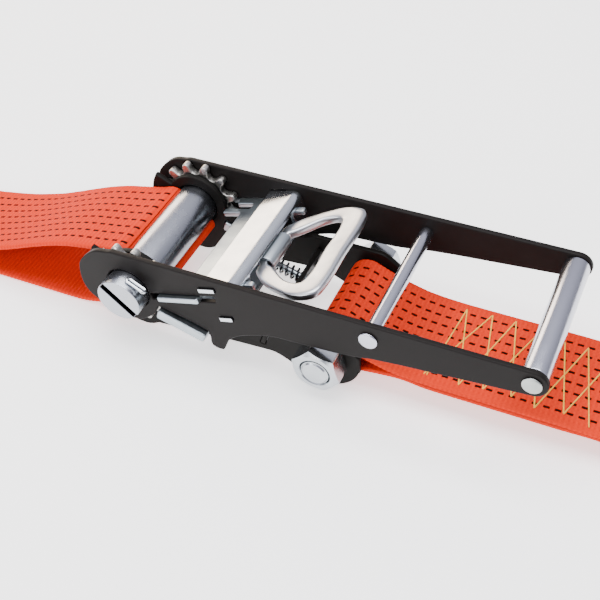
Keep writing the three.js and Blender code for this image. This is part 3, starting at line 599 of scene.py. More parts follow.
def makeFramePlates():
    p = plates
    outline = arc(0, 0, p["headRadius"], *p["headArc"]).tolist()
    outline += [polar(degrees, radius) for degrees, radius in p["lobe"]]
    outline += p["under"] + arc(p["boltX"], p["boltZ"], p["eyeRadius"], *p["eyeArc"]).tolist()
    outline += p["back"] + [p["step"]]
    x, z, tilt = p["base"]
    loops = [smoothLoop(outline), circle(0, 0, p["bore"], p["boreSteps"]),
             circle(p["boltX"], p["boltZ"], p["boltBore"], p["boltBoreSteps"]),
             tiltedRect(x, z, tilt, *p["pawlSlot"]), tiltedRect(x, z, tilt, *p["bridgeSlot"])]
    for label, side in sides:
        shape = plateShape(loops, *outwards(side, p["inner"], p["outer"]), p["edge"])
        makePiece(f"framePlate_{label}", standing(shape), "framePaint", f"frame_plate_{label}")


makeFramePlates()
softened("springBridge", "spring_bridge", "framePaint", plates["bridgeEdge"])
print("side plates made")

# winding shaft, gears and split pins
spindle = {
    "tilt": slotTilt, "radius": 10.0, "flat": 1.45, "corner": 0.5, "end": 43.5, "edge": 0.35,
    "gearInner": 28.9, "gearOuter": 32.6, "gearEdge": 0.55, "root": 14.6, "tip": 19.3, "teeth": 12,
    "firstTooth": 18,
    "tooth": [(-0.215, 0), (-0.15, 0.17), (-0.125, 0.6), (-0.1, 0.86), (-0.04, 1),
              (0.04, 1), (0.1, 0.86), (0.125, 0.6), (0.15, 0.17), (0.215, 0)],
    "pinY": 39.7, "pinLeg": 0.58, "pinReach": 12.2, "eyeHeight": 11.05, "eyeTilt": 13, "eyeStart": -1.5,
    "eyeEnd": 7.3,
    "eyeHalf": 0.95, "eyeWire": 0.72, "play": 0.25, "holeCorner": 0.6, "legTop": 0.3, "legSpread": 0.8,
    "runSteps": 24, "bendSteps": 12, "legSteps": 40, "wireSides": 10,
}


def halfRound(radius, flat, corner, steps=40, cornerSteps=6):
    # a half-round bar's section: the main arc, and a small arc at each side where it meets the flat.
    side = math.sqrt((radius - corner) ** 2 - (flat + corner) ** 2)
    meet = math.degrees(math.atan2(flat + corner, side))
    return np.concatenate([
        arc(0, 0, radius, meet, 180 - meet, steps),
        arc(-side, flat + corner, corner, 180 - meet, 270, cornerSteps)[1:],
        arc(side, flat + corner, corner, 270, 360 + meet, cornerSteps)[:-1]])


def makeSpindle():
    s = spindle
    bar = halfRound(s["radius"], s["flat"], s["corner"])
    for label, flip in (("upper", 1), ("lower", -1)):
        loop = np.stack(turned(flip * bar[:, 0], flip * bar[:, 1], s["tilt"]), 1)
        shape = plateShape([loop], -s["end"], s["end"], s["edge"])
        makePiece(f"halfShaft_{label}", standing(shape), "shaftZinc", f"half_shaft_{label}")
    lean, height = np.array(s["tooth"]).T
    radius = s["root"] + height * (s["tip"] - s["root"])
    middle = s["firstTooth"] + np.arange(s["teeth"])[:, None] * 360 / s["teeth"]
    turn = np.radians(middle) + lean * s["root"] / radius
    outline = np.stack([radius * np.cos(turn), radius * np.sin(turn)], -1).reshape(-1, 2)
    hole = halfRound(s["radius"] + s["play"], s["flat"] - s["play"], s["holeCorner"])
    holes = [np.stack(turned(flip * hole[:, 0], flip * hole[:, 1], s["tilt"]), 1) for flip in (1, -1)]
    loops = [smoothLoop(outline, 3, 200)] + holes
    for label, side in sides:
        shape = plateShape(loops, *outwards(side, s["gearInner"], s["gearOuter"]), s["gearEdge"])
        makePiece(f"ratchetGear_{label}", standing(shape), "gearZinc", f"gear_{label}")


def makePins():
    # each pin is one wire folded double: up one leg, round the bent eye and down the other.
    s = spindle
    tilt = math.radians(s["eyeTilt"])
    along, up = np.array([math.cos(tilt), math.sin(tilt)]), np.array([-math.sin(tilt), math.cos(tilt)])
    half, count = s["eyeHalf"], s["runSteps"]
    run = np.linspace(s["eyeStart"] + half, s["eyeEnd"] - half, count)
    bend = np.radians(np.linspace(-90, 90, s["bendSteps"]))
    eyeU = np.concatenate([run, s["eyeEnd"] - half + half * np.cos(bend), run[::-1],
                           s["eyeStart"] + half - half * np.cos(bend)])
    eyeY = np.concatenate([
        np.full(count, -half), half * np.sin(bend), np.full(count, half), -half * np.sin(bend)])
    flat = up * s["eyeHeight"] + eyeU[:, None] * along
    for label, side in sides:
        x, z = turned(flat[:, 0], flat[:, 1], s["tilt"])
        nx, nz = turned(up[0], up[1], s["tilt"])
        eye = tube(np.stack([x, eyeY + side * s["pinY"], z], 1), np.tile([nx, 0.0, nz], (len(x), 1)),
                   s["eyeWire"], s["wireSides"], closed=True)
        parts = [eye]
        for leg in (-1, 1):
            height = np.linspace(s["eyeHeight"] + s["legTop"], -s["pinReach"], s["legSteps"])
            spread = leg * np.clip(-s["radius"] - s["legTop"] - height, 0, None) * s["legSpread"]
            x, z = turned(spread, height, s["tilt"])
            y = np.full(s["legSteps"], side * s["pinY"]) + leg * s["pinLeg"]
            normals = np.tile([0.0, 1.0, 0.0], (s["legSteps"], 1))
            parts.append(tube(np.stack([x, y, z], 1), normals, s["pinLeg"], s["wireSides"]))
        makePiece(f"splitPin_{label}", parts, "brightZinc", f"split_pin_{label}")


makeSpindle()
makePins()
print("winding shaft made")

# bolt and nut
bolt = {
    "x": 87.0, "z": -13.8, "radius": 6.0, "flats": 19.0, "turn": 15, "inner": 28.9, "nutOuter": 38.5,
    "headOuter": 36.4, "tip": 39.2, "thread": 1.5, "threadDepth": 0.45, "threadStep": 0.25,
    "runout": (0.9, 1.0),
    "chamfer": 0.93, "cornerCut": 0.985, "nutBore": (6.15, 6.9, 1.0), "dish": (0.5, 0.25), "core": (1.0, 0.6),
    "point": [(0.6, 0), (4.6, 0), (5.1, 0.15), (5.7, 0.8)], "hexLow": 60, "hexHigh": 90, "sharp": 24,
    "hexSteps": 144, "shankSteps": 96,
}


def hexagon(radius, y, turn):
    # radius of a hexagon at each turn, for rows whose radius is the mark hexLow or hexHigh; its y is drawn in
    # by the chamfer's 30 degree cone where the hexagon stands outside the chamfer circle.
    b = bolt
    apothem = b["flats"] / 2
    around = (np.degrees(turn) - 90 - b["turn"]) % 60 - 30
    corner = apothem / math.cos(math.pi / 6) * b["cornerCut"]
    hexRadius = np.minimum(apothem / np.cos(np.radians(around)), corner)
    wanted = radius >= b["hexLow"]
    outer = np.broadcast_to(hexRadius, radius.shape)
    draw = np.maximum(outer - apothem * b["chamfer"], 0) * math.tan(math.radians(30))
    sign = np.where(radius == b["hexHigh"], 1, -1)
    return np.where(wanted, outer, radius), np.where(wanted, y - sign * draw, y)


def makeBolt():
    # the nut is turned from rows of (radius, y), where hexLow and hexHigh mark the hexagon's edges
    b = bolt
    ring = b["flats"] / 2 * b["chamfer"]
    low, high = -b["nutOuter"], -b["inner"]
    bore, mouth, lead = b["nutBore"]
    hexLow, hexHigh = (b["hexLow"], low), (b["hexHigh"], high)
    nut = lathe([(bore, low + lead), (mouth, low), (ring, low), hexLow, hexHigh, (ring, high), (mouth, high),
                 (bore, high - lead), (bore, low + lead)], b["x"], b["z"], b["hexSteps"], hexagon)
    nut["caps"] = []
    makePiece("frameNut", [nut], "boltZinc", "frame_nut", sharpDegrees=b["sharp"])
    low, high = b["inner"], b["headOuter"]
    hexLow, hexHigh = (b["hexLow"], low), (b["hexHigh"], high)
    lip, dish = b["dish"]
    head = lathe([(b["core"][0], low), (ring, low), hexLow, hexHigh, (ring, high), (ring - lip, high - dish),
                  (b["core"][0], high - dish)], b["x"], b["z"], b["hexSteps"], hexagon)
    turns = np.arange(-b["tip"] + b["runout"][0], -b["inner"] - b["runout"][1], b["threadStep"])
    depth = b["threadDepth"] * (0.5 + 0.5 * np.cos(2 * math.pi * turns / b["thread"]))
    shank = [(radius, -b["tip"] + y) for radius, y in b["point"]]
    shank += [(b["radius"] - d, y) for d, y in zip(depth, turns)]
    inside = b["inner"] + lip
    shank += [(b["radius"], -b["inner"]), (b["radius"], inside), (b["core"][1], inside)]
    parts = [head, lathe(shank, b["x"], b["z"], b["shankSteps"])]
    makePiece("frameBolt", parts, "boltZinc", "frame_bolt", sharpDegrees=b["sharp"])


makeBolt()

# grip and middle rod
rods = {
    "between": 32.6, "outer": 35.8, "rivetRadius": 3.9, "rivetHeight": 1.2, "gripX": 172.6, "gripZ": 12.63,
    "gripRadius": 5.5, "gripBore": 3.4, "pinRadius": 3.1, "middleX": 109.0, "middleZ": 11.14,
    "middleRadius": 3.15,
    "middlePin": 2.6,
}


def rivetEnd(shank):
    # half of a rod's profile: the shank through the plate, and a head whose height falls as an ellipse to
    # its rim.
    r = rods
    turn = np.radians(np.linspace(0, 88, 12))
    head = [(r["rivetRadius"] * (0.93 + 0.07 * math.cos(2 * t)) * math.cos(t) if t > 0 else r["rivetRadius"],
             r["outer"] + 0.25 + (r["rivetHeight"] - 0.25) * math.sin(t)) for t in turn]
    return [(shank, r["between"] + 0.3), (shank, r["outer"]), (r["rivetRadius"] - 0.15, r["outer"])] + head


def makeRods():
    r = rods
    edge = np.radians(np.linspace(0, 90, 6))
    wall = [(r["gripRadius"] - 0.5 + 0.5 * math.sin(t), r["between"] - 0.5 + 0.5 * math.cos(t)) for t in edge]
    half = [(r["gripBore"], r["between"])] + wall
    outline = half + [(radius, -y) for radius, y in reversed(half)] + [half[0]]
    grip = lathe(outline, r["gripX"], r["gripZ"], 72)
    grip["caps"] = []
    makePiece("gripTube", [grip], "gripZinc", "grip_tube")
    for name, node, x, z, body, shank in (
            ("gripRod", "grip_rod", r["gripX"], r["gripZ"], r["pinRadius"], r["pinRadius"] - 0.3),
            ("middleRod", "middle_rod", r["middleX"], r["middleZ"], r["middleRadius"], r["middlePin"])):
        half = [(body, r["between"] - 0.25), (body - 0.25, r["between"])] + rivetEnd(shank)
        profile = [(radius, -y) for radius, y in reversed(half)] + half
        finish = "rivetZinc" if name == "gripRod" else "gripZinc"
        makePiece(name, [lathe(profile, x, z, 64)], finish, node)


makeRods()
print("bolt, nut and rods made")

# pull plate, bracket and base pawl in their tilted frames
pullFrame = (-16, 15.5, 0.9)
baseFrame = (17.5, 13.9, -8.2)
pull = {
    "half": 1.25, "edge": 0.6, "corner": 0.9, "knuckleU": 38.4, "knuckle": 3.6, "bore": 2.45, "neck": 9.0,
    "curlStart": 34.5, "curlOuter": (90, -205, 40), "curlInner": (-205, 62, 36), "curlEdge": 0.4,
    "outline": [(9.9, 0), (9.9, 22.3), (0.3, 22.3), (0.3, 25.5), (13.5, 25.5), (13.5, 29.2), (4.5, 29.2),
                (4.5, 32.8), (0, 32.9), (0, 37.7), (20.7, 37.7), (20.7, 27), (41.8, 27), (41.8, 24),
                (20.7, 24), (20.7, 9), (36, 9)],
}


def bothHalves(half):
    # the half outline's points at y, and again at -y in the reverse order, without the middle one.
    half = np.asarray(half, float)
    return np.concatenate([half, (half * [1, -1])[::-1]])[1:] if half[0][1] == 0 else np.concatenate(
        [half, (half * [1, -1])[::-1]])


def makePullPlate():
    p = pull
    blank = rounded(bothHalves(p["outline"]), p["corner"])
    parts = lying(plateShape([blank], -p["half"], p["half"], p["edge"]), *pullFrame)
    centre = p["half"] - p["knuckle"]
    curl = np.concatenate([
        [(p["curlStart"], p["half"])], arc(p["knuckleU"], centre, p["knuckle"], *p["curlOuter"]),
        arc(p["knuckleU"], centre, p["bore"], *p["curlInner"]), [(p["curlStart"], -p["half"])]])
    shape = plateShape([curl], -p["neck"], p["neck"], p["curlEdge"])
    for part in shape:
        u, v, y = part["points"][..., 0], part["points"][..., 1], part["points"][..., 2]
        x, z = turned(u, v, *pullFrame)
        parts.append(dict(part, points=np.stack([x, y, z], -1)))
    makePiece("pullPlate", parts, "pawlZinc", "pull_plate")


bracket = {
    "thickness": 1.8, "bend": 3.1, "path": [(22.4, 5.0), (37.1, 5.0), (37.1, -10.0), (27.0, -10.0)],
    "half": 32.6, "tab": 36.3, "upperTab": 7.5, "lowerTab": 5.9, "window": 21.2, "windowV": (-7.6, 1.85),
    "prong": (25.5, 1.8, 1.55), "edge": 0.3, "sharp": 50, "step": 0.4, "rows": 70, "columns": 30,
}


def roundedPath(corners, radius, step=0.25):
    # an open path through the corners with an arc of the radius at each inner one, in even steps of its
    # length.
    corners = np.asarray(corners, float)
    pieces = [corners[:1]]
    for before, here, after in zip(corners[:-2], corners[1:-1], corners[2:]):
        a, b = unit(before - here), unit(after - here)
        half = math.acos(np.clip((a * b).sum(), -1, 1)) / 2
        reach = radius / math.tan(half)
        centre = here + unit(a + b) * radius / math.sin(half)
        start, end = here + a * reach - centre, here + b * reach - centre
        sweep = math.pi - 2 * half
        t = np.linspace(0, 1, 9)[:, None]
        pieces.append(centre + (np.sin((1 - t) * sweep) * start + np.sin(t * sweep) * end) / math.sin(sweep))
    path = np.concatenate(pieces + [corners[-1:]])
    return evenPath(path, step)


def evenPath(path, step):
    # points at even steps of the path's length, by linear interpolation.
    run = np.concatenate([[0], np.cumsum(np.linalg.norm(np.diff(path, axis=0), axis=1))])
    even = np.linspace(0, run[-1], max(int(round(run[-1] / step)), 1) + 1)
    return np.stack([np.interp(even, run, path[:, k]) for k in range(path.shape[1])], 1)


def makeBracket():
    # the bent sheet as a grid of path by width, with the cells left out that its window, prong slots and
    # tabs leave empty; Solidify gives it its thickness and Bevel its edges.
    b = bracket
    path = roundedPath(b["path"], b["bend"], b["step"])
    run = np.concatenate([[0], np.cumsum(np.linalg.norm(np.diff(path, axis=0), axis=1))])
    total = run[-1]
    side, gap, rise = b["prong"]
    cuts = [b["upperTab"], total - b["lowerTab"]]
    cuts += [np.interp(-v, -path[:, 1], run) for v in (*b["windowV"], rise, -rise)]
    rows = np.unique(np.concatenate([np.linspace(0, total, b["rows"]), cuts]).round(4))
    marks = [b["window"], side - gap, side + gap, b["half"], b["tab"]]
    even = np.linspace(-b["tab"], b["tab"], b["columns"])
    columns = np.unique(np.concatenate([even, marks, [-m for m in marks]]).round(4))
    midRow, midColumn = (rows[:-1] + rows[1:]) / 2, np.abs((columns[:-1] + columns[1:]) / 2)
    inWindow = (midRow > cuts[3]) & (midRow < cuts[2])
    inProng = (midRow > cuts[4]) & (midRow < cuts[5])
    onTab = (midRow < cuts[0]) | (midRow > cuts[1])
    keep = np.where(midColumn[None] > b["half"], onTab[:, None], True)
    keep &= ~(inWindow[:, None] & (midColumn[None] < b["window"]))
    keep &= ~(inProng[:, None] & (np.abs(midColumn[None] - side) < gap))
    u, v = np.interp(rows, run, path[:, 0]), np.interp(rows, run, path[:, 1])
    x, z = turned(u, v, *pullFrame)
    points = np.stack(np.broadcast_arrays(x[:, None], columns[None], z[:, None]), -1)
    quads = gridFaces(len(rows), len(columns), closeColumns=False)[0][keep.ravel()]
    used, quads = np.unique(quads, return_inverse=True)
    quads = quads.reshape(-1, 4)
    part = {"points": points.reshape(-1, 3)[used][None], "quads": quads, "caps": []}
    piece = makePiece("handleBracket", [part], "brightZinc", "handle_bracket")
    wall = piece.modifiers.new("sheetThickness", "SOLIDIFY")
    wall.thickness, wall.offset, wall.use_even_offset = b["thickness"] / 1000, 0, True
    bevel = piece.modifiers.new("roundedEdges", "BEVEL")
    bevel.width, bevel.segments, bevel.harden_normals = b["edge"] / 1000, 2, True
    bevel.limit_method, bevel.angle_limit = "ANGLE", math.radians(b["sharp"])


base = {
    "half": 2.4, "edge": 0.8, "corner": 1.0,
    "outline": [(11, 0), (11, 24.4), (0, 24.4), (0, 28.8), (4.3, 28.8), (4.3, 32.9), (0, 32.9), (0, 37.7),
                (23, 37.7), (23, 28.9), (16.2, 28.9), (16.2, 24.4), (23, 24.4)],
    "nose": (1.2, 28.7, 16.2, 33.1), "noseV": (-0.3, 2.3), "wallU": (20.6, 23.0), "wallHalf": 16.0,
    "wallTop": 11.5,
    "rodRadius": 1.5, "rodY": 11.0, "rodV": 9.2, "rodU": (22.0, 50.0), "rodSteps": 60, "rodSides": 20,
    "noseEdge": 0.4, "noseCorner": 0.5, "wallEdge": 0.5, "wallCorner": 1.5,
}


def makeBasePawl():
    b = base
    blank = rounded(bothHalves(b["outline"]), b["corner"])
    parts = lying(plateShape([blank], -b["half"], b["half"], b["edge"]), *baseFrame)
    u0, y0, u1, y1 = b["nose"]
    for side in (-1, 1):
        corners = [(u0, side * y0), (u1, side * y0), (u1, side * y1), (u0, side * y1)]
        nose = rounded(corners, b["noseCorner"])
        parts += lying(plateShape([nose], *b["noseV"], b["noseEdge"]), *baseFrame)
    wall = rounded([(-b["wallHalf"], 0), (b["wallHalf"], 0), (b["wallHalf"], b["wallTop"]),
                    (-b["wallHalf"], b["wallTop"])], b["wallCorner"])
    for part in plateShape([wall], *b["wallU"], b["wallEdge"]):
        y, v, u = part["points"][..., 0], part["points"][..., 1], part["points"][..., 2]
        x, z = turned(u, v, *baseFrame)
        parts.append(dict(part, points=np.stack([x, y, z], -1)))
    for side in (-1, 1):
        u = np.linspace(*b["rodU"], b["rodSteps"])
        x, z = turned(u, np.full_like(u, b["rodV"]), *baseFrame)
        centres = np.stack([x, np.full_like(u, side * b["rodY"]), z], 1)
        parts.append(tube(centres, np.tile([0.0, 1.0, 0.0], (len(u), 1)), b["rodRadius"], b["rodSides"]))
    makePiece("basePawl", parts, "pawlZinc", "base_pawl")


makePullPlate()
makeBracket()
makeBasePawl()

# compression springs, with the last turn at each end closed up
springs = {
    "base": {"frame": baseFrame, "start": 23.3, "length": 20.9, "y": 11.0, "v": 9.2, "coil": 2.7, "wire": 0.5,
             "curls": 7, "joint": "base_pawl_slide", "travel": 11.5, "node": "base_pawl_spring"},
    "pull": {"frame": pullFrame, "start": 21.0, "length": 14.9, "y": 25.5, "v": 0.0, "coil": 2.9,
             "wire": 0.45, "curls": 4, "joint": "pull_plate_slide", "travel": 7.0, "node": "pull_spring"},
}


def makeSprings():
    # a helix: it winds evenly with the path's share while its advance eases in and out over the closed
    # ends.
    for kind, s in springs.items():
        for label, side in sides:
            share = np.linspace(0, 1, s["curls"] * 20 + 1)
            turn = 2 * math.pi * (s["curls"] + 1) * share
            closed = 0.7 / (s["curls"] + 1)
            advance = np.interp(share, [0, closed, 1 - closed, 1], [0, 0.055, 0.945, 1])
            u = s["start"] + s["wire"] + (s["length"] - 2 * s["wire"]) * advance
            y, v = s["coil"] * np.cos(turn), s["coil"] * np.sin(turn)
            x, z = turned(u, s["v"] + v, *s["frame"])
            nx, nz = turned(np.zeros_like(v), v, s["frame"][0])
            centres = np.stack([x, side * s["y"] + y, z], 1)
            coil = tube(centres, unit(np.stack([nx, y, nz], 1)), s["wire"], 10)
            piece = makePiece(f"{kind}Spring_{label}", [coil], "springSteel", f"{s['node']}_{label}")
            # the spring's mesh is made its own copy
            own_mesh(piece)


makeSprings()
print("pawls, bracket and springs made")

# release bail
bail = {
    "hinge": (38.4, -2.35), "tilt": 1, "thick": 2.0, "length": 33.5, "halfWidth": 28.8, "crossbar": 9.4,
    "leg": 7.0,
    "outer": [(-0.054, 0.0), (-0.054, 0.44), (-0.045, 0.53), (0.02, 0.62), (0.5, 0.96), (0.58, 1), (0.86, 1),
              (0.93, 0.96), (0.985, 0.86), (1, 0.74), (1, 0.0)],
    "inner": [(0.0745, 0.0), (0.0745, 0.454), (0.1, 0.49), (0.12, 0.5), (0.72, 0.98), (0.8, 1.0), (0.88, 1),
              (0.95, 0.965), (0.97, 0.93), (1, 0.82), (1, 0.0)],
}


def makeBail():
    # a ring whose section is a rounded bar: at each share of the way round, the outer and inner line are
    # joined by a superellipse of power 4.5 that is as wide as they are apart and as thick as the bar.
    b = bail
    def wholeLine(half, length, width):
        line = np.array([(s * length, y * width) for s, y in half])
        ring = np.concatenate([line, (line * [1, -1])[::-1][1:-1]])
        return smoothLoop(ring, 6, 200, 200)
    outer = wholeLine(b["outer"], b["length"], b["halfWidth"])
    inner = wholeLine(b["inner"], b["length"] - b["crossbar"], b["halfWidth"] - b["leg"])
    middle = (outer + inner) / 2
    half = np.linalg.norm(outer - inner, axis=1) / 2
    out = unit(outer - inner)
    turn = np.linspace(0, 2 * math.pi, 32, endpoint=False)
    c, s = np.cos(turn), np.sin(turn)
    sideways = np.sign(c) * np.abs(c) ** (2 / 4.5)
    upwards = np.sign(s) * np.abs(s) ** (2 / 4.5)
    flat = middle[:, None] + out[:, None] * (half[:, None] * sideways)[..., None]
    u, v = turned(flat[..., 0], b["thick"] * upwards[None] + 0 * flat[..., 0], -b["tilt"], *b["hinge"])
    x, z = turned(u, v, *pullFrame)
    points = np.stack([x, flat[..., 1], z], -1)
    part = {"points": points, "quads": gridFaces(*points.shape[:2], closeRows=True)[0], "caps": []}
    makePiece("releaseBail", [part], "bailZinc", "release_bail")


makeBail()
print("release bail made")


# webbing
webbing = {
    "half": 25.0, "thick": 1.15, "ribPitch": 2.0, "samples": 6,
    "rowPitch": 5.36, "rows": 8, "dashPitch": 4.6, "dash": 2.6, "dashWidth": 1.2,
    "bundle": 1.1, "red": "#d23010", "deep": "#b8240b", "mark": "#120302",
    "thread": "#f0bc50", "threadDeep": "#cc8c28",
}


def wovenPolyester():
    # woven polyester webbing: orange-red warp bundles 1.1 mm wide over weft ribs, with painted shade
    # deepening the red in the grooves, and rows of short black floats on one face only; the weave is the
    # product of a cosine across and one along
    w = webbing
    material, tree, shader = newMaterial("wovenPolyester", {
        "Roughness": 0.7, "Specular IOR Level": 0.05})
    uv = addNode(tree, "ShaderNodeUVMap", settings={"uv_map": "bandMm"}).outputs["UV"]
    angles = addNode(tree, "ShaderNodeVectorMath", {
        0: uv, 1: (math.pi / w["bundle"], 2 * math.pi / w["ribPitch"], 0.0)}, {"operation": "MULTIPLY"})
    waves = addNode(tree, "ShaderNodeVectorMath", {0: angles.outputs[0]}, {"operation": "COSINE"})
    wave = addNode(tree, "ShaderNodeSeparateXYZ", {"Vector": waves.outputs[0]})
    crossing = addNode(tree, "ShaderNodeMath", {0: wave.outputs["X"], 1: wave.outputs["Y"]},
                       {"operation": "MULTIPLY"})
    rib = addNode(tree, "ShaderNodeMath", {0: wave.outputs["Y"], 1: 0.22, 2: 0.4},
                  {"operation": "MULTIPLY_ADD"})
    weave = addNode(tree, "ShaderNodeMath", {0: crossing.outputs[0], 1: 0.17, 2: rib.outputs[0]},
                    {"operation": "MULTIPLY_ADD"})
    cloud = addNode(tree, "ShaderNodeTexNoise", {
        "Vector": uv, "Scale": 0.35, "Detail": 4.0, "Roughness": 0.6})
    # the deep red is partly random clouds of tone and partly painted shade where the weave is low
    tone = addNode(tree, "ShaderNodeMath", {0: cloud.outputs["Fac"], 1: 0.5, 2: weave.outputs[0]},
                   {"operation": "MULTIPLY_ADD"})
    cloth = addNode(tree, "ShaderNodeMix", {
        "Factor": tone.outputs[0], 6: linear(w["deep"]), 7: linear(w["red"])}, {"data_type": "RGBA"})
    # floats: how far each point is from the middle of its row and of its dash
    cell = addNode(tree, "ShaderNodeVectorMath", {
        0: uv, 1: (w["rowPitch"], w["dashPitch"], 1.0), 2: (0.0, 0.0, 0.0)}, {"operation": "WRAP"})
    centred = addNode(tree, "ShaderNodeVectorMath", {
        0: cell.outputs[0], 1: (w["rowPitch"] / 2, w["dashPitch"] / 2, 0.0)}, {"operation": "SUBTRACT"})
    distance = addNode(tree, "ShaderNodeVectorMath", {0: centred.outputs[0]}, {"operation": "ABSOLUTE"})
    away = addNode(tree, "ShaderNodeSeparateXYZ", {"Vector": distance.outputs[0]})
    onRow = addNode(tree, "ShaderNodeMapRange", {
        "Value": away.outputs["X"], "From Min": w["dashWidth"] / 2 - 0.1,
        "From Max": w["dashWidth"] / 2 + 0.1, "To Min": 1.0, "To Max": 0.0})
    onDash = addNode(tree, "ShaderNodeMapRange", {
        "Value": away.outputs["Y"], "From Min": w["dash"] / 2 - 0.15, "From Max": w["dash"] / 2 + 0.15,
        "To Min": 1.0, "To Max": 0.0})
    dashes = addNode(tree, "ShaderNodeMath", {0: onRow.outputs["Result"], 1: onDash.outputs["Result"]},
                     {"operation": "MULTIPLY"})
    place = addNode(tree, "ShaderNodeSeparateXYZ", {"Vector": uv})
    across = addNode(tree, "ShaderNodeMath", {0: place.outputs["X"]}, {"operation": "ABSOLUTE"})
    inside = addNode(tree, "ShaderNodeMath", {0: across.outputs[0], 1: w["rowPitch"] * w["rows"] / 2},
                     {"operation": "LESS_THAN"})
    mark = addNode(tree, "ShaderNodeMath", {0: dashes.outputs[0], 1: inside.outputs[0]},
                   {"operation": "MULTIPLY"})
    colour = addNode(tree, "ShaderNodeMix", {
        "Factor": mark.outputs[0], 6: cloth.outputs[2], 7: linear(w["mark"])}, {"data_type": "RGBA"})
    height = addNode(tree, "ShaderNodeMath", {0: cloud.outputs["Fac"], 1: 0.2, 2: weave.outputs[0]},
                     {"operation": "MULTIPLY_ADD"})
    bump = addNode(tree, "ShaderNodeBump", {
        "Height": height.outputs[0], "Strength": 0.35, "Distance": 0.00012})
    wireShader(tree, shader, colour, bump)
    return material


def sewingThread():
    # bonded polyester thread: yellow, slightly glossy, twisted every 0.8 mm.
    material, tree, shader = newMaterial("bondedThread", {"Roughness": 0.5, "Specular IOR Level": 0.2})
    mm = objectPlace(tree)
    twist = addNode(tree, "ShaderNodeTexNoise", {"Vector": mm, "Scale": 1.2, "Detail": 3.0})
    tone = addNode(tree, "ShaderNodeMix", {
        "Factor": twist.outputs["Fac"], 6: linear(webbing["threadDeep"]), 7: linear(webbing["thread"])},
        {"data_type": "RGBA"})
    bump = addNode(tree, "ShaderNodeBump", {
        "Height": twist.outputs["Fac"], "Strength": 0.4, "Distance": 0.0001})
    wireShader(tree, shader, tone, bump)
    return material


finishes["webbing"] = wovenPolyester()
finishes["thread"] = sewingThread()


def splinePath(points, steps=12):
    # an open Catmull-Rom curve: each span is a cubic of its own two points and their two neighbours.
    points = np.asarray(points, float)
    wide = np.concatenate([points[:1], points, points[-1:]])
    a, b, c, d = wide[:-3], wide[1:-2], wide[2:-1], wide[3:]
    t = np.linspace(0, 1, steps, endpoint=False)[:, None, None]
    curve = 0.5 * (2 * b + (c - a) * t + (2 * a - 5 * b + 4 * c - d) * t**2 + (3 * b - a - 3 * c + d) * t**3)
    return np.concatenate([curve.transpose(1, 0, 2).reshape(-1, 2), points[-1:]])


def strapSection():
    # the band's section as (across, out): flat faces and half-round edges, with its running width for the
    # UV.
    w = webbing
    flat = np.linspace(-w["half"] + 1.2, w["half"] - 1.2, 22)
    turn = np.radians(np.linspace(90, -90, 8))[1:-1]
    rim = np.stack([w["half"] - 1.2 + 1.2 * np.cos(turn), w["thick"] * np.sin(turn)], 1)
    top = np.stack([flat, np.full_like(flat, w["thick"])], 1)
    section = np.concatenate([top, rim, (top * [1, -1])[::-1], (rim * [-1, 1])[::-1]])
    closedSection = np.concatenate([section, section[:1]])
    run = np.concatenate([[0], np.cumsum(np.linalg.norm(np.diff(closedSection, axis=0), axis=1))])
    return section, run - w["half"] + 1.2


def strap(path, rib, closed=False, marked="top", phase=0.0, twist=None):
    # the section carried along a path of (x, z): out is the path's left normal, and every face stands out
    # by a cosine of the run along the band, which makes the weft ribs. A twist lists (x, lift): how much
    # higher the near edge stands than the far edge there.
    w = webbing
    run = np.concatenate([[0], np.cumsum(np.linalg.norm(np.diff(path, axis=0), axis=1))])
    total = run[-1]
    pitch = total / round(total / w["ribPitch"]) if closed else w["ribPitch"]
    count = int(round(total / pitch * w["samples"]))
    s = np.linspace(0, total, count + 1)[:-1] if closed else np.linspace(0, total, count + 1)
    centre = np.stack([np.interp(s, run, path[:, k]) for k in range(2)], 1)
    if closed:
        way = unit(np.roll(centre, -3, 0) - np.roll(centre, 3, 0))
    else:
        way = unit(np.gradient(splineSmooth(centre), axis=0))
    out = np.stack([-way[:, 1], way[:, 0]], 1)
    section, around = strapSection()
    atEdge = np.clip((np.abs(section[:, 0]) - w["half"] + 1.3) / 1.3, 0, 1)
    ribs = rib * (np.cos(2 * math.pi * (s + phase) / pitch)[:, None] - 1) * np.ones_like(atEdge)[None]
    across = section[None, :, 0] + np.sign(section[None, :, 0]) * ribs * atEdge[None]
    offset = section[None, :, 1] + np.sign(section[None, :, 1]) * ribs * (1 - atEdge[None])
    points = np.stack([centre[:, None, 0] + out[:, None, 0] * offset, across,
                       centre[:, None, 1] + out[:, None, 1] * offset], -1)
    if twist:
        lift = np.interp(centre[:, 0], *np.array(twist, float).T)
        points[..., 2] -= across / (2 * w["half"]) * lift[:, None]
    along = np.concatenate([s, [total]]) + phase
    if marked == "bottom":
        around = np.where(around < w["half"] + 2.5, around + 80, around - 2 * w["half"] - 1.2)
    quads, uv = gridFaces(*points.shape[:2], closeRows=closed, along=along, around=around)
    rows, columns = points.shape[:2]
    caps = [] if closed else [list(range(columns)), list(range((rows - 1) * columns, rows * columns))]
    return {"points": points, "quads": quads, "caps": caps, "uv": uv}, total


def splineSmooth(path):
    # each point as the mean of itself and its two neighbours, the ends kept.
    return np.concatenate([path[:1], (path[:-2] + path[1:-1] + path[2:]) / 3, path[-1:]])


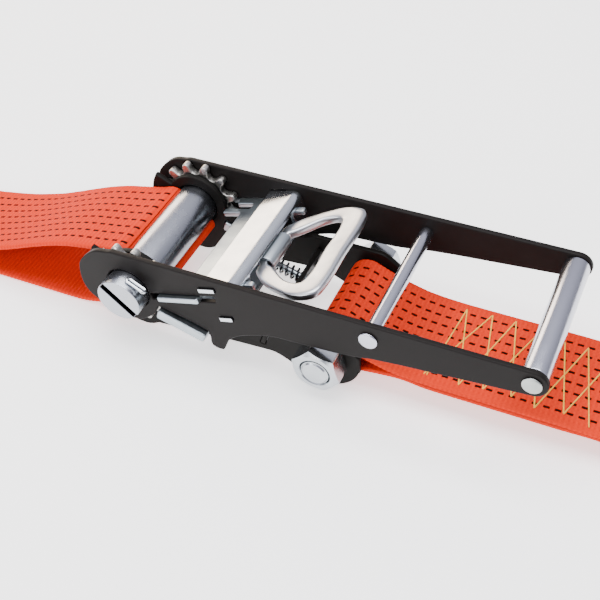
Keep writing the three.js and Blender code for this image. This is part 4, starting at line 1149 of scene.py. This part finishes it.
bands = {
    "loadReach": 192.0, "fixedReach": 222.0, "tailReach": 127.0, "eye": 9.0, "lap": 40.0, "shaftGap": 0.3,
    "riseTilt": 28, "wrapEnd": -47, "riseShares": [0.3, 0.5, 0.7, 0.9],
    "footShares": [(-0.35, 0), (-0.2, 0.012), (-0.08, 0.045), (0.05, 0.105), (0.17, 0.19)],
    "flatShares": [0.9, 0.75, 0.6, 0.45, 0.32], "tailRun": 46.99, "pressSlope": 3,
    "pressAnchor": (-50, 0, -22),
    "tailShares": [(0.205, -0.02), (0.25, -0.017), (0.31, 0.004), (0.4, 0.034), (0.566, 0.082), (0.76, 0.141),
                   (0.964, 0.233), (1.173, 0.35), (1.39, 0.482), (1.611, 0.61), (1.964, 0.786),
                   (2.277, 0.913), (2.49, 0.98)],
    "tailTwist": [(-127, 0), (-110, 1.2), (-92, 3.6), (-76, 5), (-63, 5.1), (-52, 4.8), (-38, 4.1),
                  (-31, 3.6), (-24, 3.2), (-14, 2.6), (-9.5, 1.2), (-7, 0)],
    "lapShares": [(1.0, 0), (0.8, 0), (0.6, 0), (0.42, 1.0), (0.2, 5.4)],
    "plyShares": [(0.045, 0.86), (0.08, 0.66), (0.135, 0.36), (0.215, 0.06), (0.32, -0.07), (0.48, -0.1),
                  (0.7, -0.12), (0.86, -0.16)],
}


def makeLoadLeg():
    b, w = bands, webbing
    middle = surfaceZ + w["thick"]
    wrap = arc(0, 0, 10 + b["shaftGap"] + w["thick"], b["riseTilt"] - 90, b["wrapEnd"], 4)
    touch = wrap[0]
    rise = touch[1] - middle
    foot = touch[0] - rise / math.tan(math.radians(b["riseTilt"]))
    climb = b["footShares"] + [(s, s) for s in b["riseShares"]]
    leg = [(-b["loadReach"], middle)] + [(-b["loadReach"] * s, middle) for s in b["flatShares"]]
    leg += [(foot + s * (touch[0] - foot), middle + r * rise) for s, r in climb] + wrap.tolist()
    eyeZ, bend = surfaceZ + b["eye"], b["eye"] - w["thick"]
    loop = arc(-b["loadReach"], eyeZ, bend, 118, 270, 24).tolist()
    lapZ = surfaceZ + 3 * w["thick"]
    lap = [(-b["loadReach"] + b["lap"] * s, lapZ + rise) for s, rise in b["lapShares"]]
    path = splinePath(lap + loop + leg[1:])
    part, length = strap(evenPath(path, 0.2), 0.1, marked="bottom")
    piece = makePiece("loadLeg", [part], "webbing", "band_load_leg", sharpDegrees=80, uvName="bandMm")


def makeTail():
    b, w = bands, webbing
    end = surfaceZ + 3 * w["thick"] + b["shaftGap"]
    start = polar(180 - spindle["tilt"], 10 + 2 * b["shaftGap"])
    drop = start[1] - end
    hump = [(-s * b["tailRun"], start[1] - r * drop) for s, r in b["tailShares"]]
    path = [start] + hump + [(-b["tailReach"], end)]
    part, length = strap(evenPath(splinePath(path), 0.2)[::-1], 0.05, twist=b["tailTwist"])
    piece = makePiece("freeTail", [part], "webbing", "band_tail", sharpDegrees=80, uvName="bandMm")
    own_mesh(piece)


def upperPly():
    # the middle line of the fixed leg's upper ply, and the outside radius of its loop round the bolt.
    b, x = bands, bolt["x"]
    outer = bolt["radius"] + 0.6 + 2 * webbing["thick"]
    run = b["fixedReach"] - x
    return [(x + s * run, bolt["z"] + r * outer - 2 * webbing["thick"]) for s, r in b["plyShares"]], outer


def fixedPath():
    # the closed middle line of the fixed leg: round the bolt, out along the upper ply, round the eye and
    # back.
    b, w = bands, webbing
    x, z = bolt["x"], bolt["z"]
    top, outer = upperPly()
    under = [(px, pz - 2 * w["thick"]) for px, pz in top[3:]]
    bend = arc(x, z, outer - w["thick"], 285, 75, 28).tolist()
    eye = arc(b["fixedReach"], surfaceZ + b["eye"], b["eye"] - w["thick"], 122, -122, 26).tolist()
    return bend + top[1:] + eye + under[::-1]


def makeFixedLeg():
    ring = np.asarray(fixedPath())
    steps = 12   # points in each span of the curve; the first span repeats the last
    curve = splinePath(np.concatenate([ring, ring[:3]]), steps)
    curve = curve[steps:steps * (len(ring) + 1) + 1]
    part, length = strap(evenPath(curve, 0.2), 0.05, closed=True)
    piece = makePiece("fixedLeg", [part], "webbing", "band_fixed_leg", sharpDegrees=80, uvName="bandMm")


def makeCore():
    # the band inside the slot, with its lower end turned round the lower half shaft.
    line = [polar(138, 10.5), polar(138, 5), (0, 0), polar(-42, 5), polar(-42, 9.6), polar(-43, 11.2),
            polar(-47, 12.2), polar(-53, 12.1)]
    part, length = strap(evenPath(splinePath(line), 0.2)[::-1], 0.05, phase=1.0)
    piece = makePiece("slotBand", [part], "webbing", "band_core", sharpDegrees=80, uvName="bandMm")


seams = {
    "radius": 0.34, "stitch": 2.7, "lift": 0.1, "sink": 0.2, "step": 0.45,
    "fixed": [
        [(128.6, -21), (132.3, 21.1), (142, -21), (153.5, 22.1), (162.9, -18.9), (175.3, 17.8), (184, -19.8),
         (196.2, 18)],
        [(127.3, -21), (143.4, 21.8), (151.6, -19.6), (164.2, 19.3), (172.8, -21.2), (184.9, 18.2),
         (194.5, -22.6)],
    ],
    "lap": [[(-169, -20.5), (-166, 20.5), (-163, -20.5), (-160, 20.5), (-157, -20.5), (-154, 20.5)]],
}


def seamParts(lines, heightAt, facing):
    # thread laid along each line of corners: its height over the cloth falls by a cosine at every stitch's
    # end.
    parts = []
    for corners in lines:
        path = evenPath(np.asarray(corners, float), seams["step"])
        run = seams["step"] * np.arange(len(path))
        stitch = (0.5 + 0.5 * np.cos(2 * math.pi * run / seams["stitch"])) ** 3
        lift = seams["lift"] - seams["sink"] * stitch
        centres = np.stack([path[:, 0], path[:, 1], heightAt(path[:, 0]) + facing * lift], 1)
        parts.append(tube(centres, np.tile([0.0, 0.0, 1.0], (len(path), 1)), seams["radius"], 8))
    return parts


def makeSeams():
    w = webbing
    ply = splinePath(upperPly()[0][2:])
    onTop = seamParts(seams["fixed"], lambda x: np.interp(x, *ply.T) + w["thick"], 1)
    under = seamParts(seams["fixed"], lambda x: np.interp(x, *ply.T) - 3 * w["thick"], -1)
    makePiece("fixedLegSeam", onTop + under, "thread", body="frame", sharpDegrees=80, slot="webbing")
    lap = seamParts(seams["lap"], lambda x: 0 * x + surfaceZ + 4 * w["thick"], 1)
    makePiece("loadLegSeam", lap, "thread", body="frame", sharpDegrees=80, slot="webbing")


makeLoadLeg()
makeTail()
makeFixedLeg()
makeCore()
makeSeams()
print("webbing and its seams made")
